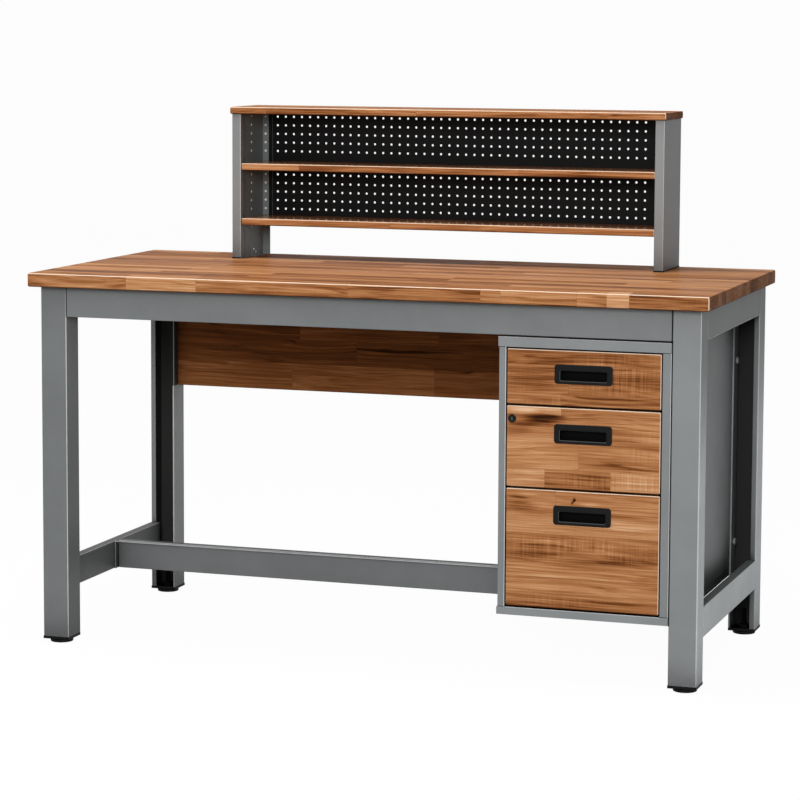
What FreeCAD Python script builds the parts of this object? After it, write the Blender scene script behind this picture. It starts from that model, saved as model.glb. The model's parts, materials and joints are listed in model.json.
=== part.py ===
import FreeCAD, Part
import Sketcher
import os
import re

# Workbench with a butcher block top, a folded steel frame, three drawers and a perforated riser.
# Millimetres, +Z up. Origin at the middle of the footprint, on the floor. -Y is the front.

doc = FreeCAD.newDocument("Workbench")
sheet = doc.addObject("Spreadsheet::Sheet", "Sizes")

# Driving sizes: name, value in millimetres (or a count), what it measures
driving_sizes = [
    ("top_length", 1500, "tabletop, left to right"),
    ("top_depth", 680, "tabletop, front to back"),
    ("top_height", 815, "floor to worktop"),
    ("top_thick", 30, "tabletop"),
    ("side_overhang", 20, "tabletop past the legs, each side"),
    ("front_overhang", 25, "tabletop past the front legs"),
    ("rear_overhang", 5, "tabletop past the rear legs"),
    ("leg_width", 60, "leg channel, web"),
    ("leg_depth", 60, "leg channel, flanges"),
    ("leg_lip", 12, "return lip on a leg's outer flange"),
    ("leg_bend", 3, "outer bend radius of a leg"),
    ("frame_wall", 2, "sheet of legs, rails and stretcher"),
    ("rail_height", 65, "rails under the top"),
    ("front_rail_depth", 25, "front rail's flanges"),
    ("side_rail_depth", 25, "upper side rails' flanges"),
    ("rear_rail_depth", 19, "rear rail's flanges"),
    ("low_rail_bottom", 106, "floor to the lower rails"),
    ("low_rail_height", 64, "lower side rails and stretcher"),
    ("low_rail_thick", 22, "lower side rails"),
    ("stretcher_thick", 20, "stretcher tube"),
    ("stretcher_back", 342, "front legs' face to the stretcher's face"),
    ("end_plate", 3, "plates on the stretcher's ends"),
    ("end_plate_lap", 14, "end plate past the stretcher's faces"),
    ("panel_thick", 18, "modesty panel"),
    ("panel_bottom", 499, "floor to the modesty panel"),
    ("pad_radius", 25, "foot pad"),
    ("pad_sides", 36, "flats round a foot pad"),
    ("pad_height", 8.7, "foot pad"),
    ("pad_taper", 2.7, "sloped rim on top of a foot pad"),
    ("pad_inset", 3, "slope's run towards the middle"),
    ("pad_floor", 3, "pad left under the stem"),
    ("pad_gap", 0.3, "pad to foot plate when screwed home"),
    ("foot_plate", 3, "plate that closes a leg"),
    ("plate_inset", 1, "foot plate inside the leg's outline"),
    ("nut_side", 17, "square weld nut"),
    ("nut_height", 8, "square weld nut"),
    ("stem_radius", 5, "foot stem"),
    ("stem_length", 52, "foot stem"),
    ("running_gap", 0.08, "radial play of turning fits"),
    ("seat_gap", 0.3, "pieces that stop just short of each other"),
    ("cabinet_width", 363, "drawer cabinet"),
    ("cabinet_depth", 635, "drawer cabinet"),
    ("cabinet_wall", 1.2, "cabinet sheet"),
    ("cap_gap", 3, "shadow gap under the front rail"),
    ("cap_height", 21, "cabinet cap"),
    ("base_bottom", 137.5, "floor to the cabinet's base"),
    ("base_height", 16.5, "cabinet base"),
    ("cap_lap", 2.5, "cap and base past the left side"),
    ("cap_lip", 16, "inward flanges of cap and base"),
    ("left_post", 15, "cabinet's left front post"),
    ("right_post", 19, "cabinet's right front post"),
    ("post_return", 60, "posts' inner returns"),
    ("rear_post_depth", 40, "posts at the slides' rear ends"),
    ("rear_post_back", 60, "rear posts' back face to cabinet back"),
    ("front_thick", 18, "drawer fronts"),
    ("front_gap", 3, "between drawer fronts"),
    ("front_side_gap", 2, "drawer front to post"),
    ("front_chamfer", 1.2, "broken edges of drawer fronts"),
    ("bottom_front", 246.5, "bottom drawer front"),
    ("middle_front", 168.5, "middle drawer front"),
    ("box_wall", 1.2, "drawer boxes' sheet"),
    ("box_lift", 12, "drawer front's lower edge to its box"),
    ("box_length", 550, "drawer boxes"),
    ("top_box", 78, "top drawer box, height"),
    ("middle_box", 110, "middle drawer box, height"),
    ("bottom_box", 200, "bottom drawer box, height"),
    ("slide_length", 550, "drawer slides"),
    ("slide_setback", 4, "slide behind the drawer front"),
    ("slide_rise", 35, "drawer box's floor to its slide's middle"),
    ("slide_height", 45, "outer slide member"),
    ("slide_space", 12.7, "closed slide, side to side"),
    ("slide_wall", 1.2, "slide members"),
    ("slide_play", 0.4, "between nested slide members"),
    ("slide_edge", 1.7, "free edges short of the next member's web"),
    ("pull_length", 122, "pull bezel"),
    ("pull_height", 40, "pull bezel"),
    ("pull_proud", 2, "pull bezel past the wood"),
    ("pull_corner", 6, "pull bezel corners"),
    ("cup_length", 112, "pull cup outside"),
    ("cup_height", 32, "pull cup outside"),
    ("cup_depth", 17, "pull cup"),
    ("cup_wall", 2, "pull cup"),
    ("cup_fit", 0.3, "pull cup to its cut-out"),
    ("mouth_length", 98, "pull mouth"),
    ("mouth_height", 20, "pull mouth"),
    ("mouth_drop", 3, "pull mouth below the cup's middle"),
    ("top_pull_drop", 49, "top front's upper edge to its pull"),
    ("middle_pull_drop", 54, "middle front's upper edge to its pull"),
    ("bottom_pull_drop", 51, "bottom front's upper edge to its pull"),
    ("lock_radius", 8, "lock housing"),
    ("lock_rim_radius", 8.75, "lock rim"),
    ("lock_rim", 1.5, "lock rim's thickness"),
    ("lock_fit", 0.1, "housing to its hole"),
    ("lock_in", 11.8, "front's left edge to the lock"),
    ("lock_drop", 27, "middle front's upper edge to the lock"),
    ("lock_tail", 8.2, "housing behind the front"),
    ("lock_nut_thick", 4, "lock's ring nut"),
    ("lock_nut_radius", 12, "lock's ring nut, across corners"),
    ("plug_radius", 5.5, "lock plug"),
    ("key_length", 7, "keyway"),
    ("key_width", 1.4, "keyway"),
    ("key_depth", 6, "keyway"),
    ("cam_gap", 0.3, "lock cam behind its housing"),
    ("cam_width", 10, "lock cam"),
    ("cam_thick", 2, "lock cam"),
    ("cam_reach", 22, "lock axis to cam tip"),
    ("cam_heel", 6, "lock axis to cam heel"),
    ("strike_play", 4, "strike slot round the cam"),
    ("riser_width", 1014, "riser, outside its uprights"),
    ("riser_offset", 25, "riser's middle right of the bench's"),
    ("riser_height", 348, "worktop to the riser's top"),
    ("riser_depth", 160, "uprights, front to back"),
    ("riser_set_in", 2, "uprights in from the tabletop's rear edge"),
    ("upright_width", 21, "uprights, front face"),
    ("upright_lip", 30, "uprights' front lip"),
    ("upright_rear_lip", 13.5, "uprights' rear lip"),
    ("riser_wall", 1.5, "riser sheet"),
    ("plate_flange", 17.5, "inner plates' rear flange, which carries the panels"),
    ("panel_lap", 2.5, "perforated panels over those flanges"),
    ("board_thick", 16, "riser top and shelves"),
    ("board_side", 3.5, "riser top past the uprights"),
    ("board_front", 5, "riser top past the uprights in front"),
    ("shelf_set_in", 3, "shelf fronts behind the uprights' faces"),
    ("upper_shelf_rise", 203, "worktop to the upper shelf"),
    ("lower_shelf_rise", 77, "worktop to the lower shelf"),
    ("peg_shift", 10, "hole fields left of the riser's middle"),
    ("peg_pitch", 20, "hole to hole"),
    ("peg_hole", 5, "hole, across flats"),
    ("peg_columns", 45, "holes in a row"),
    ("peg_rows", 5, "rows in a panel"),
    ("upper_peg_lift", 6.5, "upper hole field above its bay's middle"),
    ("lower_peg_lift", 0.5, "hole field below the lower bay's middle"),
    ("bracket_length", 55, "angle brackets under the riser"),
    ("bracket_leg", 28, "angle brackets' legs"),
    ("bracket_wall", 2, "angle brackets"),
    ("bracket_back", 70, "uprights' faces to the brackets"),
    ("bolt_neck", 8, "coach bolts' square necks"),
    ("bolt_play", 0.2, "gap round a neck in its hole"),
    ("bolt_nut", 7.5, "bolts' nuts, middle to corner"),
    ("bolt_nut_thick", 5, "bolts' nuts"),
    ("bolt_past", 2, "necks past the inner sheet"),
    ("bolt_inset", 13, "leg's web to the rail bolts"),
    ("bolt_edge", 16, "rail's edge to its bolts"),
    ("cabinet_bolt_in", 27, "leg's web to the cabinet bolts"),
    ("cabinet_bolt_low", 205, "floor to the lower cabinet bolts"),
    ("cabinet_bolt_high", 613, "floor to the upper cabinet bolts"),
    ("overrun", 1, "how far cutting shapes run past what they cut"),
]
for row, (alias, number, note) in enumerate(driving_sizes, 1):
    sheet.set("A%d" % row, alias)
    sheet.set("B%d" % row, str(number))
    sheet.set("C%d" % row, note)
    sheet.setAlias("B%d" % row, alias)
doc.recompute()
aliases = {alias for alias, number, note in driving_sizes}

# Places that several pieces share, worked out from the driving sizes.
# The ones that end in _x are distances from the middle, left or right.
shared_places = {
    "under_top": "top_height - top_thick",
    "leg_out_x": "top_length / 2 - side_overhang",
    "leg_in_x": "leg_out_x - leg_width",
    "face": "front_overhang - top_depth / 2",
    "rear": "top_depth / 2 - rear_overhang",
    "legs_bottom": "pad_height + pad_gap + foot_plate",
    "rail_low": "under_top - rail_height",
    "panel_back": "rear - rear_rail_depth",
    "cab_left": "leg_in_x - cabinet_width",
    "cab_back": "face + cabinet_depth",
    "lap_left": "cab_left - cap_lap",
    "cap_top": "rail_low - cap_gap",
    "cap_low": "cap_top - cap_height",
    "base_top": "base_bottom + base_height",
    "left_jamb": "cab_left + left_post",
    "right_jamb": "leg_in_x - right_post",
    "fronts_left": "left_jamb + front_side_gap",
    "fronts_width": "right_jamb - left_jamb - 2 * front_side_gap",
    "fronts_back": "face + front_thick",
    "bottom_low": "base_top + front_gap",
    "bottom_high": "bottom_low + bottom_front",
    "middle_low": "bottom_high + front_gap",
    "middle_high": "middle_low + middle_front",
    "top_low": "middle_high + front_gap",
    "top_high": "cap_low - front_gap",
    "box_left": "left_jamb + slide_space",
    "box_width": "right_jamb - left_jamb - 2 * slide_space",
    "slide_front": "fronts_back + slide_setback",
    "pull_x": "(left_jamb + right_jamb) / 2",
    "lock_x": "fronts_left + lock_in",
    "lock_z": "middle_high - lock_drop",
    "cam_face": "fronts_back + lock_tail + cam_gap",
    "riser_face": "top_depth / 2 - riser_set_in - riser_depth",
    "riser_back": "riser_face + riser_depth",
    "riser_out_x": "riser_width / 2",
    "riser_in_x": "riser_out_x - upright_width",
    "riser_under": "top_height + riser_height - board_thick",
    "upper_shelf": "top_height + upper_shelf_rise",
    "lower_shelf": "top_height + lower_shelf_rise",
    "flange_face": "riser_back - upright_rear_lip - riser_wall - seat_gap",
    "flange_end_x": "riser_in_x + riser_wall - plate_flange",
}


def bound(text):
    """The text with each name turned into its cell or its shared place."""
    def swap(found):
        name = found.group()
        if name in aliases:
            return "Sizes." + name
        return "(" + bound(shared_places[name]) + ")"
    return re.sub(r"[a-z]\w*", swap, text)


def value(text):
    """The number that a size expression gives now."""
    return float(sheet.evalExpression(bound(text)))


def bind(thing, prop, text):
    thing.setExpression(prop, bound(text))


# A span is (low end, length), both size expressions
def outward(side, near, far):
    """Span in X between two distances from the middle, on the left (-1) or right (1)."""
    low = near if side > 0 else "-(%s)" % far
    return low, "(%s) - (%s)" % (far, near)


def beside(side, near, far):
    """The same span about the riser's middle."""
    low, length = outward(side, near, far)
    return "riser_offset + " + low, length


def inward(turn, web, near, far):
    """Span in Y between two depths behind a web that faces front (1) or rear (-1)."""
    low = near if turn > 0 else "-(%s)" % far
    return "%s + %s" % (web, low), "(%s) - (%s)" % (far, near)


def between(low, high):
    return low, "(%s) - (%s)" % (high, low)


def box(name, x_span, y_span, z_span):
    made = doc.addObject("Part::Box", name)
    sides = zip("xyz", ("Length", "Width", "Height"), (x_span, y_span, z_span))
    for axis, side, (low, length) in sides:
        bind(made, "Placement.Base." + axis, low)
        bind(made, side, length)
    return made


directions = {"x": FreeCAD.Vector(1, 0, 0), "y": FreeCAD.Vector(0, 1, 0), "z": FreeCAD.Vector(0, 0, 1)}


def place(made, along, start):
    """Stands a round or six-sided piece with its axis along x, y or z, from its start point."""
    turn = FreeCAD.Rotation(directions["z"], directions[along])
    made.Placement = FreeCAD.Placement(FreeCAD.Vector(), turn)
    for axis, text in zip("xyz", start):
        bind(made, "Placement.Base." + axis, text)
    return made


def rod(name, along, start, length, radius):
    made = doc.addObject("Part::Cylinder", name)
    bind(made, "Radius", radius)
    bind(made, "Height", length)
    return place(made, along, start)


def hexagon(name, along, start, length, radius):
    made = doc.addObject("Part::Prism", name)
    made.Polygon = 6
    bind(made, "Circumradius", radius)
    bind(made, "Height", length)
    return place(made, along, start)


def join(name, pieces):
    made = doc.addObject("Part::MultiFuse", name)
    made.Shapes = pieces
    made.Refine = True
    return made


def cut(name, base, tools):
    made = doc.addObject("Part::Cut", name)
    made.Base = base
    made.Tool = tools[0] if len(tools) == 1 else join(name + "_tools", tools)
    made.Refine = True
    return made


def group(name, pieces):
    made = doc.addObject("Part::Compound", name)
    made.Links = pieces
    return made


def edges_where(made, test):
    doc.recompute()
    return [k for k, edge in enumerate(made.Shape.Edges, 1) if test(edge)]


def runs_along(axis):
    """Test for straight edges along x, y or z."""
    def test(edge):
        ends = [vertex.Point for vertex in edge.Vertexes]
        return len(ends) == 2 and abs((ends[1] - ends[0]).normalize() * directions[axis]) > 1 - 1e-6
    return test


def outline(name, corners, low, height):
    """PartDesign body: a closed outline of straight runs, each corner bound, padded upwards."""
    body = doc.addObject("PartDesign::Body", name)
    sketch = body.newObject("Sketcher::SketchObject", name + "_outline")
    plane = [f for f in body.Origin.OriginFeatures if f.Role == "XY_Plane"]
    sketch.AttachmentSupport = [(plane[0], "")]
    sketch.MapMode = "FlatFace"
    points = [FreeCAD.Vector(value(x), value(y), 0) for x, y in corners]
    for k, point in enumerate(points):
        sketch.addGeometry(Part.LineSegment(point, points[(k + 1) % len(points)]), False)
    for k in range(len(points)):
        sketch.addConstraint(Sketcher.Constraint("Coincident", k, 2, (k + 1) % len(points), 1))
    for k, (corner, point) in enumerate(zip(corners, points)):
        for kind, text, number in zip(("DistanceX", "DistanceY"), corner, point):
            n = sketch.addConstraint(Sketcher.Constraint(kind, -1, 1, k, 1, number))
            sketch.setExpression("Constraints[%d]" % n, bound(text))
    pad = body.newObject("PartDesign::Pad", name + "_pad")
    pad.Profile = sketch
    bind(pad, "Length", height)
    bind(body, "Placement.Base.z", low)
    doc.recompute()
    return body, pad


nodes = []


def node(made):
    """Marks a finished sub-part. Its label names its file."""
    nodes.append(made)
    return made


# Tabletop
node(box("bench_top", ("-top_length / 2", "top_length"), ("-top_depth / 2", "top_depth"),
         ("under_top", "top_thick")))

# Coach bolts: hexagon nut on the leg's inner side, square neck through the flange and the next sheet
frame_bolts, cabinet_bolts = [], []


def bolt(name, side, y_text, z_text, behind):
    """A bolt along X through a leg's inner flange. Returns the bolt and its hole's tool."""
    nut_face = "leg_in_x + frame_wall"
    span = outward(side, "leg_in_x - %s - bolt_past" % behind, nut_face + " + bolt_nut_thick")
    nut_start = outward(side, nut_face, nut_face + " + bolt_nut_thick")[0]
    nut = hexagon(name + "_nut", "x", (nut_start, y_text, z_text), "bolt_nut_thick", "bolt_nut")

    def square(part, width):
        around = [("%s - (%s) / 2" % (middle, width), width) for middle in (y_text, z_text)]
        return box(name + part, span, *around)
    return join(name, [nut, square("_neck", "bolt_neck")]), square("_hole", "bolt_neck + 2 * bolt_play")


# Legs: folded channels, open towards the bench's middle, with a return lip on the outer flange
def leg(name, side, turn, web):
    def corner(from_outer, from_web):
        sign = "" if side > 0 else "-"
        depth = "%s %s (%s)" % (web, "+" if turn > 0 else "-", from_web)
        return "%s(leg_out_x - (%s))" % (sign, from_outer), depth
    corners = [
        corner("0", "0"),
        corner("leg_width", "0"),
        corner("leg_width", "leg_depth"),
        corner("leg_width - frame_wall", "leg_depth"),
        corner("leg_width - frame_wall", "frame_wall"),
        corner("frame_wall", "frame_wall"),
        corner("frame_wall", "leg_depth - frame_wall"),
        corner("leg_lip", "leg_depth - frame_wall"),
        corner("leg_lip", "leg_depth"),
        corner("0", "leg_depth"),
    ]
    body, pad = outline(name + "_channel", corners, "legs_bottom", "under_top - legs_bottom")
    web_y = value(web)
    tall = runs_along("z")
    bends = edges_where(pad, lambda e: tall(e) and abs(e.Vertexes[0].Point.y - web_y) < 1e-6)
    fold = body.newObject("PartDesign::Fillet", name + "_bends")
    fold.Base = (pad, ["Edge%d" % k for k in bends])
    bind(fold, "Radius", "leg_bend")
    body.Tip = fold
    holes = []
    bolt_y = inward(turn, web, "bolt_inset", "bolt_inset")[0]
    for k, z_text in enumerate(("rail_low + bolt_edge", "under_top - bolt_edge")):
        made, hole = bolt("%s_rail_bolt_%d" % (name, k), side, bolt_y, z_text, "frame_wall")
        frame_bolts.append(made)
        holes.append(hole)
    if side > 0:
        bolt_y = inward(turn, web, "cabinet_bolt_in", "cabinet_bolt_in")[0]
        for k, z_text in enumerate(("cabinet_bolt_low", "cabinet_bolt_high")):
            made, hole = bolt("%s_cabinet_bolt_%d" % (name, k), side, bolt_y, z_text, "cabinet_wall")
            cabinet_bolts.append(made)
            holes.append(hole)
    node(cut(name, body, holes))
    return holes


leg_places = {
    "front_left": (-1, 1, "face"),
    "front_right": (1, 1, "face"),
    "rear_left": (-1, -1, "rear"),
    "rear_right": (1, -1, "rear"),
}
bolt_holes = {}
for corner_name, (side, turn, web) in leg_places.items():
    bolt_holes[corner_name] = leg("leg_" + corner_name, side, turn, web)
node(group("frame_bolts", frame_bolts))
node(group("cabinet_bolts", cabinet_bolts))


# Rails under the top: folded channels with closed ends, open towards the bench's middle
def long_rail(name, turn, web, depth, holes):
    blank = box(name + "_blank", ("-leg_in_x", "2 * leg_in_x"), inward(turn, web, "0", depth),
                ("rail_low", "rail_height"))
    hollow = box(name + "_hollow", ("frame_wall - leg_in_x", "2 * (leg_in_x - frame_wall)"),
                 inward(turn, web, "frame_wall", depth + " + overrun"),
                 ("rail_low + frame_wall", "rail_height - 2 * frame_wall"))
    node(cut(name, blank, [hollow] + holes))


rail_holes = {name: holes[:2] for name, holes in bolt_holes.items()}
long_rail("front_rail", 1, "face", "front_rail_depth", rail_holes["front_left"] + rail_holes["front_right"])
long_rail("rear_rail", -1, "rear", "rear_rail_depth", rail_holes["rear_left"] + rail_holes["rear_right"])
for side, word in ((-1, "left"), (1, "right")):
    run = between("face + leg_depth", "rear - leg_depth")
    inside = between("face + leg_depth + frame_wall", "rear - leg_depth - frame_wall")
    blank = box("side_rail_blank_" + word, outward(side, "leg_out_x - side_rail_depth", "leg_out_x"),
                run, ("rail_low", "rail_height"))
    hollow = box("side_rail_hollow_" + word,
                 outward(side, "leg_out_x - side_rail_depth - overrun", "leg_out_x - frame_wall"),
                 inside, ("rail_low + frame_wall", "rail_height - 2 * frame_wall"))
    node(cut("upper_side_rail_" + word, blank, [hollow]))
    # Lower side rails: flat tubes whose ends butt against the legs
    tube = box("low_rail_blank_" + word, outward(side, "leg_out_x - low_rail_thick", "leg_out_x"),
               run, ("low_rail_bottom", "low_rail_height"))
    bore = box("low_rail_bore_" + word,
               outward(side, "leg_out_x - low_rail_thick + frame_wall", "leg_out_x - frame_wall"),
               between("face + leg_depth - overrun", "rear - leg_depth + overrun"),
               ("low_rail_bottom + frame_wall", "low_rail_height - 2 * frame_wall"))
    node(cut("lower_side_rail_" + word, tube, [bore]))

# Stretcher: a flat tube from the left lower rail to the cabinet's base, with a plate welded on each end
stretcher_left = "low_rail_thick - leg_out_x"
stretcher_run = between(stretcher_left + " + end_plate", "lap_left - end_plate")
tube = box("stretcher_blank", stretcher_run, ("face + stretcher_back", "stretcher_thick"),
           ("low_rail_bottom", "low_rail_height"))
bore = box("stretcher_bore", (stretcher_left, "lap_left - (%s)" % stretcher_left),
           ("face + stretcher_back + frame_wall", "stretcher_thick - 2 * frame_wall"),
           ("low_rail_bottom + frame_wall", "low_rail_height - 2 * frame_wall"))
plate_depth = ("face + stretcher_back - end_plate_lap", "stretcher_thick + 2 * end_plate_lap")
welded = [cut("stretcher_tube", tube, [bore])]
for word, low in (("left", stretcher_left), ("right", "lap_left - end_plate")):
    welded.append(box("stretcher_plate_" + word, (low, "end_plate"), plate_depth,
                      ("low_rail_bottom", "low_rail_height")))
node(join("stretcher", welded))

# Modesty panel, against the rear rail, from the left leg to the cabinet
node(box("modesty_panel", between("-leg_in_x", "lap_left - seat_gap"),
         ("panel_back - panel_thick", "panel_thick"), between("panel_bottom", "under_top")))

# Feet: a plate with a square weld nut closes each leg, a threaded stem carries the pad
plates = []
for corner_name, (side, turn, web) in leg_places.items():
    span_x = outward(side, "leg_in_x + plate_inset", "leg_out_x - plate_inset")
    span_y = inward(turn, web, "plate_inset", "leg_depth - plate_inset")
    x_text = ("" if side > 0 else "-") + "(leg_in_x + leg_width / 2)"
    y_text = inward(turn, web, "leg_depth / 2", "leg_depth / 2")[0]
    plate = box("foot_plate_" + corner_name, span_x, span_y, ("legs_bottom - foot_plate", "foot_plate"))
    nut = box("foot_nut_" + corner_name, (x_text + " - nut_side / 2", "nut_side"),
              (y_text + " - nut_side / 2", "nut_side"), ("legs_bottom", "nut_height"))
    bore = rod("foot_bore_" + corner_name, "z", (x_text, y_text, "pad_height"),
               "pad_gap + foot_plate + nut_height + overrun", "stem_radius + running_gap")
    blank = join("foot_blank_" + corner_name, [plate, nut])
    plates.append(cut("foot_plate_nut_" + corner_name, blank, [bore]))
    disc = doc.addObject("Part::Prism", "pad_disc_" + corner_name)
    bind(disc, "Polygon", "pad_sides")
    bind(disc, "Circumradius", "pad_radius")
    bind(disc, "Height", "pad_height")
    place(disc, "z", (x_text, y_text, "0"))
    top_z = value("pad_height")
    rim = edges_where(disc, lambda e: all(abs(v.Point.z - top_z) < 1e-6 for v in e.Vertexes))
    sloped = doc.addObject("Part::Chamfer", "pad_sloped_" + corner_name)
    sloped.Base = disc
    sloped.Edges = [(k, value("pad_taper"), value("pad_inset")) for k in rim]
    socket = box("pad_socket_" + corner_name,
                 (x_text + " - stem_radius - running_gap", "2 * (stem_radius + running_gap)"),
                 (y_text + " - stem_radius - running_gap", "2 * (stem_radius + running_gap)"),
                 ("pad_floor", "pad_height"))
    node(cut("foot_pad_" + corner_name, sloped, [socket]))
    node(rod("foot_stem_" + corner_name, "z", (x_text, y_text, "pad_floor + seat_gap"), "stem_length",
             "stem_radius"))
node(group("foot_plates", plates))


# Cabinet cap and base: shallow trays with inward flanges, open side down for both
def tray(name, low, height):
    blank = box(name + "_blank", between("lap_left", "leg_in_x"), ("face", "cabinet_depth"), (low, height))
    inside_x = between("lap_left + cabinet_wall", "leg_in_x - cabinet_wall")
    inside_y = ("face + cabinet_wall", "cabinet_depth - 2 * cabinet_wall")
    flange_x = between("lap_left + cap_lip", "leg_in_x - cap_lip")
    flange_y = ("face + cap_lip", "cabinet_depth - 2 * cap_lip")
    inside_z = (low + " + cabinet_wall", height + " - 2 * cabinet_wall")
    hollow = box(name + "_hollow", inside_x, inside_y, inside_z)
    mouth = box(name + "_mouth", flange_x, flange_y, (low + " - overrun", "overrun + 2 * cabinet_wall"))
    node(cut(name, blank, [hollow, mouth]))


tray("cabinet_cap", "cap_low", "cap_height")
tray("cabinet_base", "base_bottom", "base_height")

# Cabinet sides: each folds round a front post, and returns inside it
wall_height = between("base_top", "cap_low")
side_walls = {
    "left": (("cab_left", "cabinet_wall"), ("cab_left", "left_post"),
             ("left_jamb - cabinet_wall", "cabinet_wall")),
    "right": (("leg_in_x - cabinet_wall", "cabinet_wall"), ("right_jamb", "right_post"),
              ("right_jamb", "cabinet_wall")),
}
strike = box("strike_slot", ("left_jamb - cabinet_wall - overrun", "cabinet_wall + 2 * overrun"),
             ("cam_face - strike_play", "cam_thick + 2 * strike_play"),
             ("lock_z - cam_width / 2 - strike_play", "cam_width / 2 + cam_reach + 2 * strike_play"))
cabinet_holes = bolt_holes["front_right"][2:] + bolt_holes["rear_right"][2:]
for word, (wall_x, post_x, return_x) in side_walls.items():
    wall = box("cabinet_wall_" + word, wall_x, ("face", "cabinet_depth"), wall_height)
    post = box("cabinet_post_" + word, post_x, ("face", "cabinet_wall"), wall_height)
    jamb = box("cabinet_return_" + word, return_x, ("face", "post_return"), wall_height)
    folded = join("cabinet_fold_" + word, [wall, post, jamb])
    node(cut("cabinet_side_" + word, folded, [strike] if word == "left" else cabinet_holes))
node(box("cabinet_back", between("cab_left + cabinet_wall", "leg_in_x - cabinet_wall"),
         ("cab_back - cabinet_wall", "cabinet_wall"), wall_height))

# Rear posts that carry the slides' far ends
posts = []
for word, post_x, hollow_x in (
    ("left", between("cab_left + cabinet_wall", "left_jamb"),
     between("cab_left", "left_jamb - cabinet_wall")),
    ("right", between("right_jamb", "leg_in_x - cabinet_wall"),
     between("right_jamb + cabinet_wall", "leg_in_x")),
):
    post_y = "cab_back - rear_post_back - rear_post_depth"
    blank = box("rear_post_blank_" + word, post_x, (post_y, "rear_post_depth"), wall_height)
    hollow = box("rear_post_hollow_" + word, hollow_x,
                 (post_y + " + cabinet_wall", "rear_post_depth - 2 * cabinet_wall"),
                 ("base_top - overrun", "cap_low - base_top + 2 * overrun"))
    posts.append(cut("rear_post_" + word, blank, [hollow]))
node(group("slide_posts", posts))


# Drawer slides: three nested channels a side. Each one's flanges run just inside the last one's.
def slide_channel(name, word, near, far, half_height, web_near, slide_z):
    """Channel between two distances from the jamb, open towards or away from the drawer."""
    def from_jamb(a, b):
        if word == "left":
            return between("left_jamb + " + a, "left_jamb + " + b)
        return between("right_jamb - (%s)" % b, "right_jamb - (%s)" % a)
    run = ("slide_front", "slide_length")
    longer = ("slide_front - overrun", "slide_length + 2 * overrun")
    blank = box(name + "_blank", from_jamb(near, far), run,
                ("%s - (%s)" % (slide_z, half_height), "2 * (%s)" % half_height))
    if web_near:
        open_span = from_jamb(near + " + slide_wall", far + " + overrun")
    else:
        open_span = from_jamb(near + " - overrun", far + " - slide_wall")
    hollow = box(name + "_hollow", open_span, longer,
                 ("%s - (%s - slide_wall)" % (slide_z, half_height), "2 * (%s - slide_wall)" % half_height))
    return cut(name, blank, [hollow])


step = "(slide_wall + slide_play)"
members = {
    "outer": ("0", "slide_space - slide_edge - slide_play", "slide_height / 2", True),
    "middle": (step, "slide_space - slide_edge", "slide_height / 2 - %s" % step, True),
    "inner": ("2 * " + step, "slide_space", "slide_height / 2 - 2 * %s" % step, False),
}


# Drawers: wooden front, folded steel box, recessed pull and the slides' moving members
def drawer(word, low, high, box_height, pull_drop, front_holes):
    pull_z = "%s - %s" % (high, pull_drop)
    blank = box("front_blank_" + word, ("fronts_left", "fronts_width"), ("face", "front_thick"),
                between(low, high))
    face_y = value("face")
    rim = edges_where(blank, lambda e: all(abs(v.Point.y - face_y) < 1e-6 for v in e.Vertexes))
    broken = doc.addObject("Part::Chamfer", "front_broken_" + word)
    broken.Base = blank
    broken.Edges = [(k, value("front_chamfer"), value("front_chamfer")) for k in rim]
    opening = box("front_cutout_" + word, ("pull_x - cup_length / 2 - cup_fit", "cup_length + 2 * cup_fit"),
                  ("face - overrun", "front_thick + 2 * overrun"),
                  (pull_z + " - cup_height / 2 - cup_fit", "cup_height + 2 * cup_fit"))
    node(cut("drawer_front_" + word, broken, [opening] + front_holes))
    # Box
    floor_z = low + " + box_lift"
    blank = box("box_blank_" + word, ("box_left", "box_width"), ("fronts_back", "box_length"),
                (floor_z, box_height))
    hollow = box("box_hollow_" + word, ("box_left + box_wall", "box_width - 2 * box_wall"),
                 ("fronts_back + box_wall", "box_length - 2 * box_wall"),
                 (floor_z + " + box_wall", box_height))
    node(cut("drawer_box_" + word, blank, [hollow]))
    # Pull: a bezel on the wood, and a cup whose mouth sits low so that fingers hook behind the bezel
    bezel = box("bezel_" + word, ("pull_x - pull_length / 2", "pull_length"),
                ("face - pull_proud", "pull_proud"), (pull_z + " - pull_height / 2", "pull_height"))
    rounded = doc.addObject("Part::Fillet", "bezel_rounded_" + word)
    rounded.Base = bezel
    corner = value("pull_corner")
    rounded.Edges = [(k, corner, corner) for k in edges_where(bezel, runs_along("y"))]
    cup = box("cup_" + word, ("pull_x - cup_length / 2", "cup_length"),
              ("face - pull_proud / 2", "cup_depth + pull_proud / 2"),
              (pull_z + " - cup_height / 2", "cup_height"))
    hollow = box("cup_hollow_" + word, ("pull_x - cup_length / 2 + cup_wall", "cup_length - 2 * cup_wall"),
                 ("face", "cup_depth - cup_wall"),
                 (pull_z + " - cup_height / 2 + cup_wall", "cup_height - 2 * cup_wall"))
    mouth = box("cup_mouth_" + word, ("pull_x - mouth_length / 2", "mouth_length"),
                ("face - pull_proud - overrun", "pull_proud + 2 * overrun"),
                (pull_z + " - mouth_height / 2 - mouth_drop", "mouth_height"))
    node(cut("pull_" + word, join("pull_blank_" + word, [rounded, cup]), [hollow, mouth]))
    # Slides
    slide_z = floor_z + " + slide_rise"
    made = {}
    for member, shape in members.items():
        made[member] = [slide_channel("%s_slide_%s_%s" % (member, word, hand), hand, *shape, slide_z)
                        for hand in ("left", "right")]
    node(group("slide_middle_" + word, made["middle"]))
    node(group("slide_inner_" + word, made["inner"]))
    return made["outer"]


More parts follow.
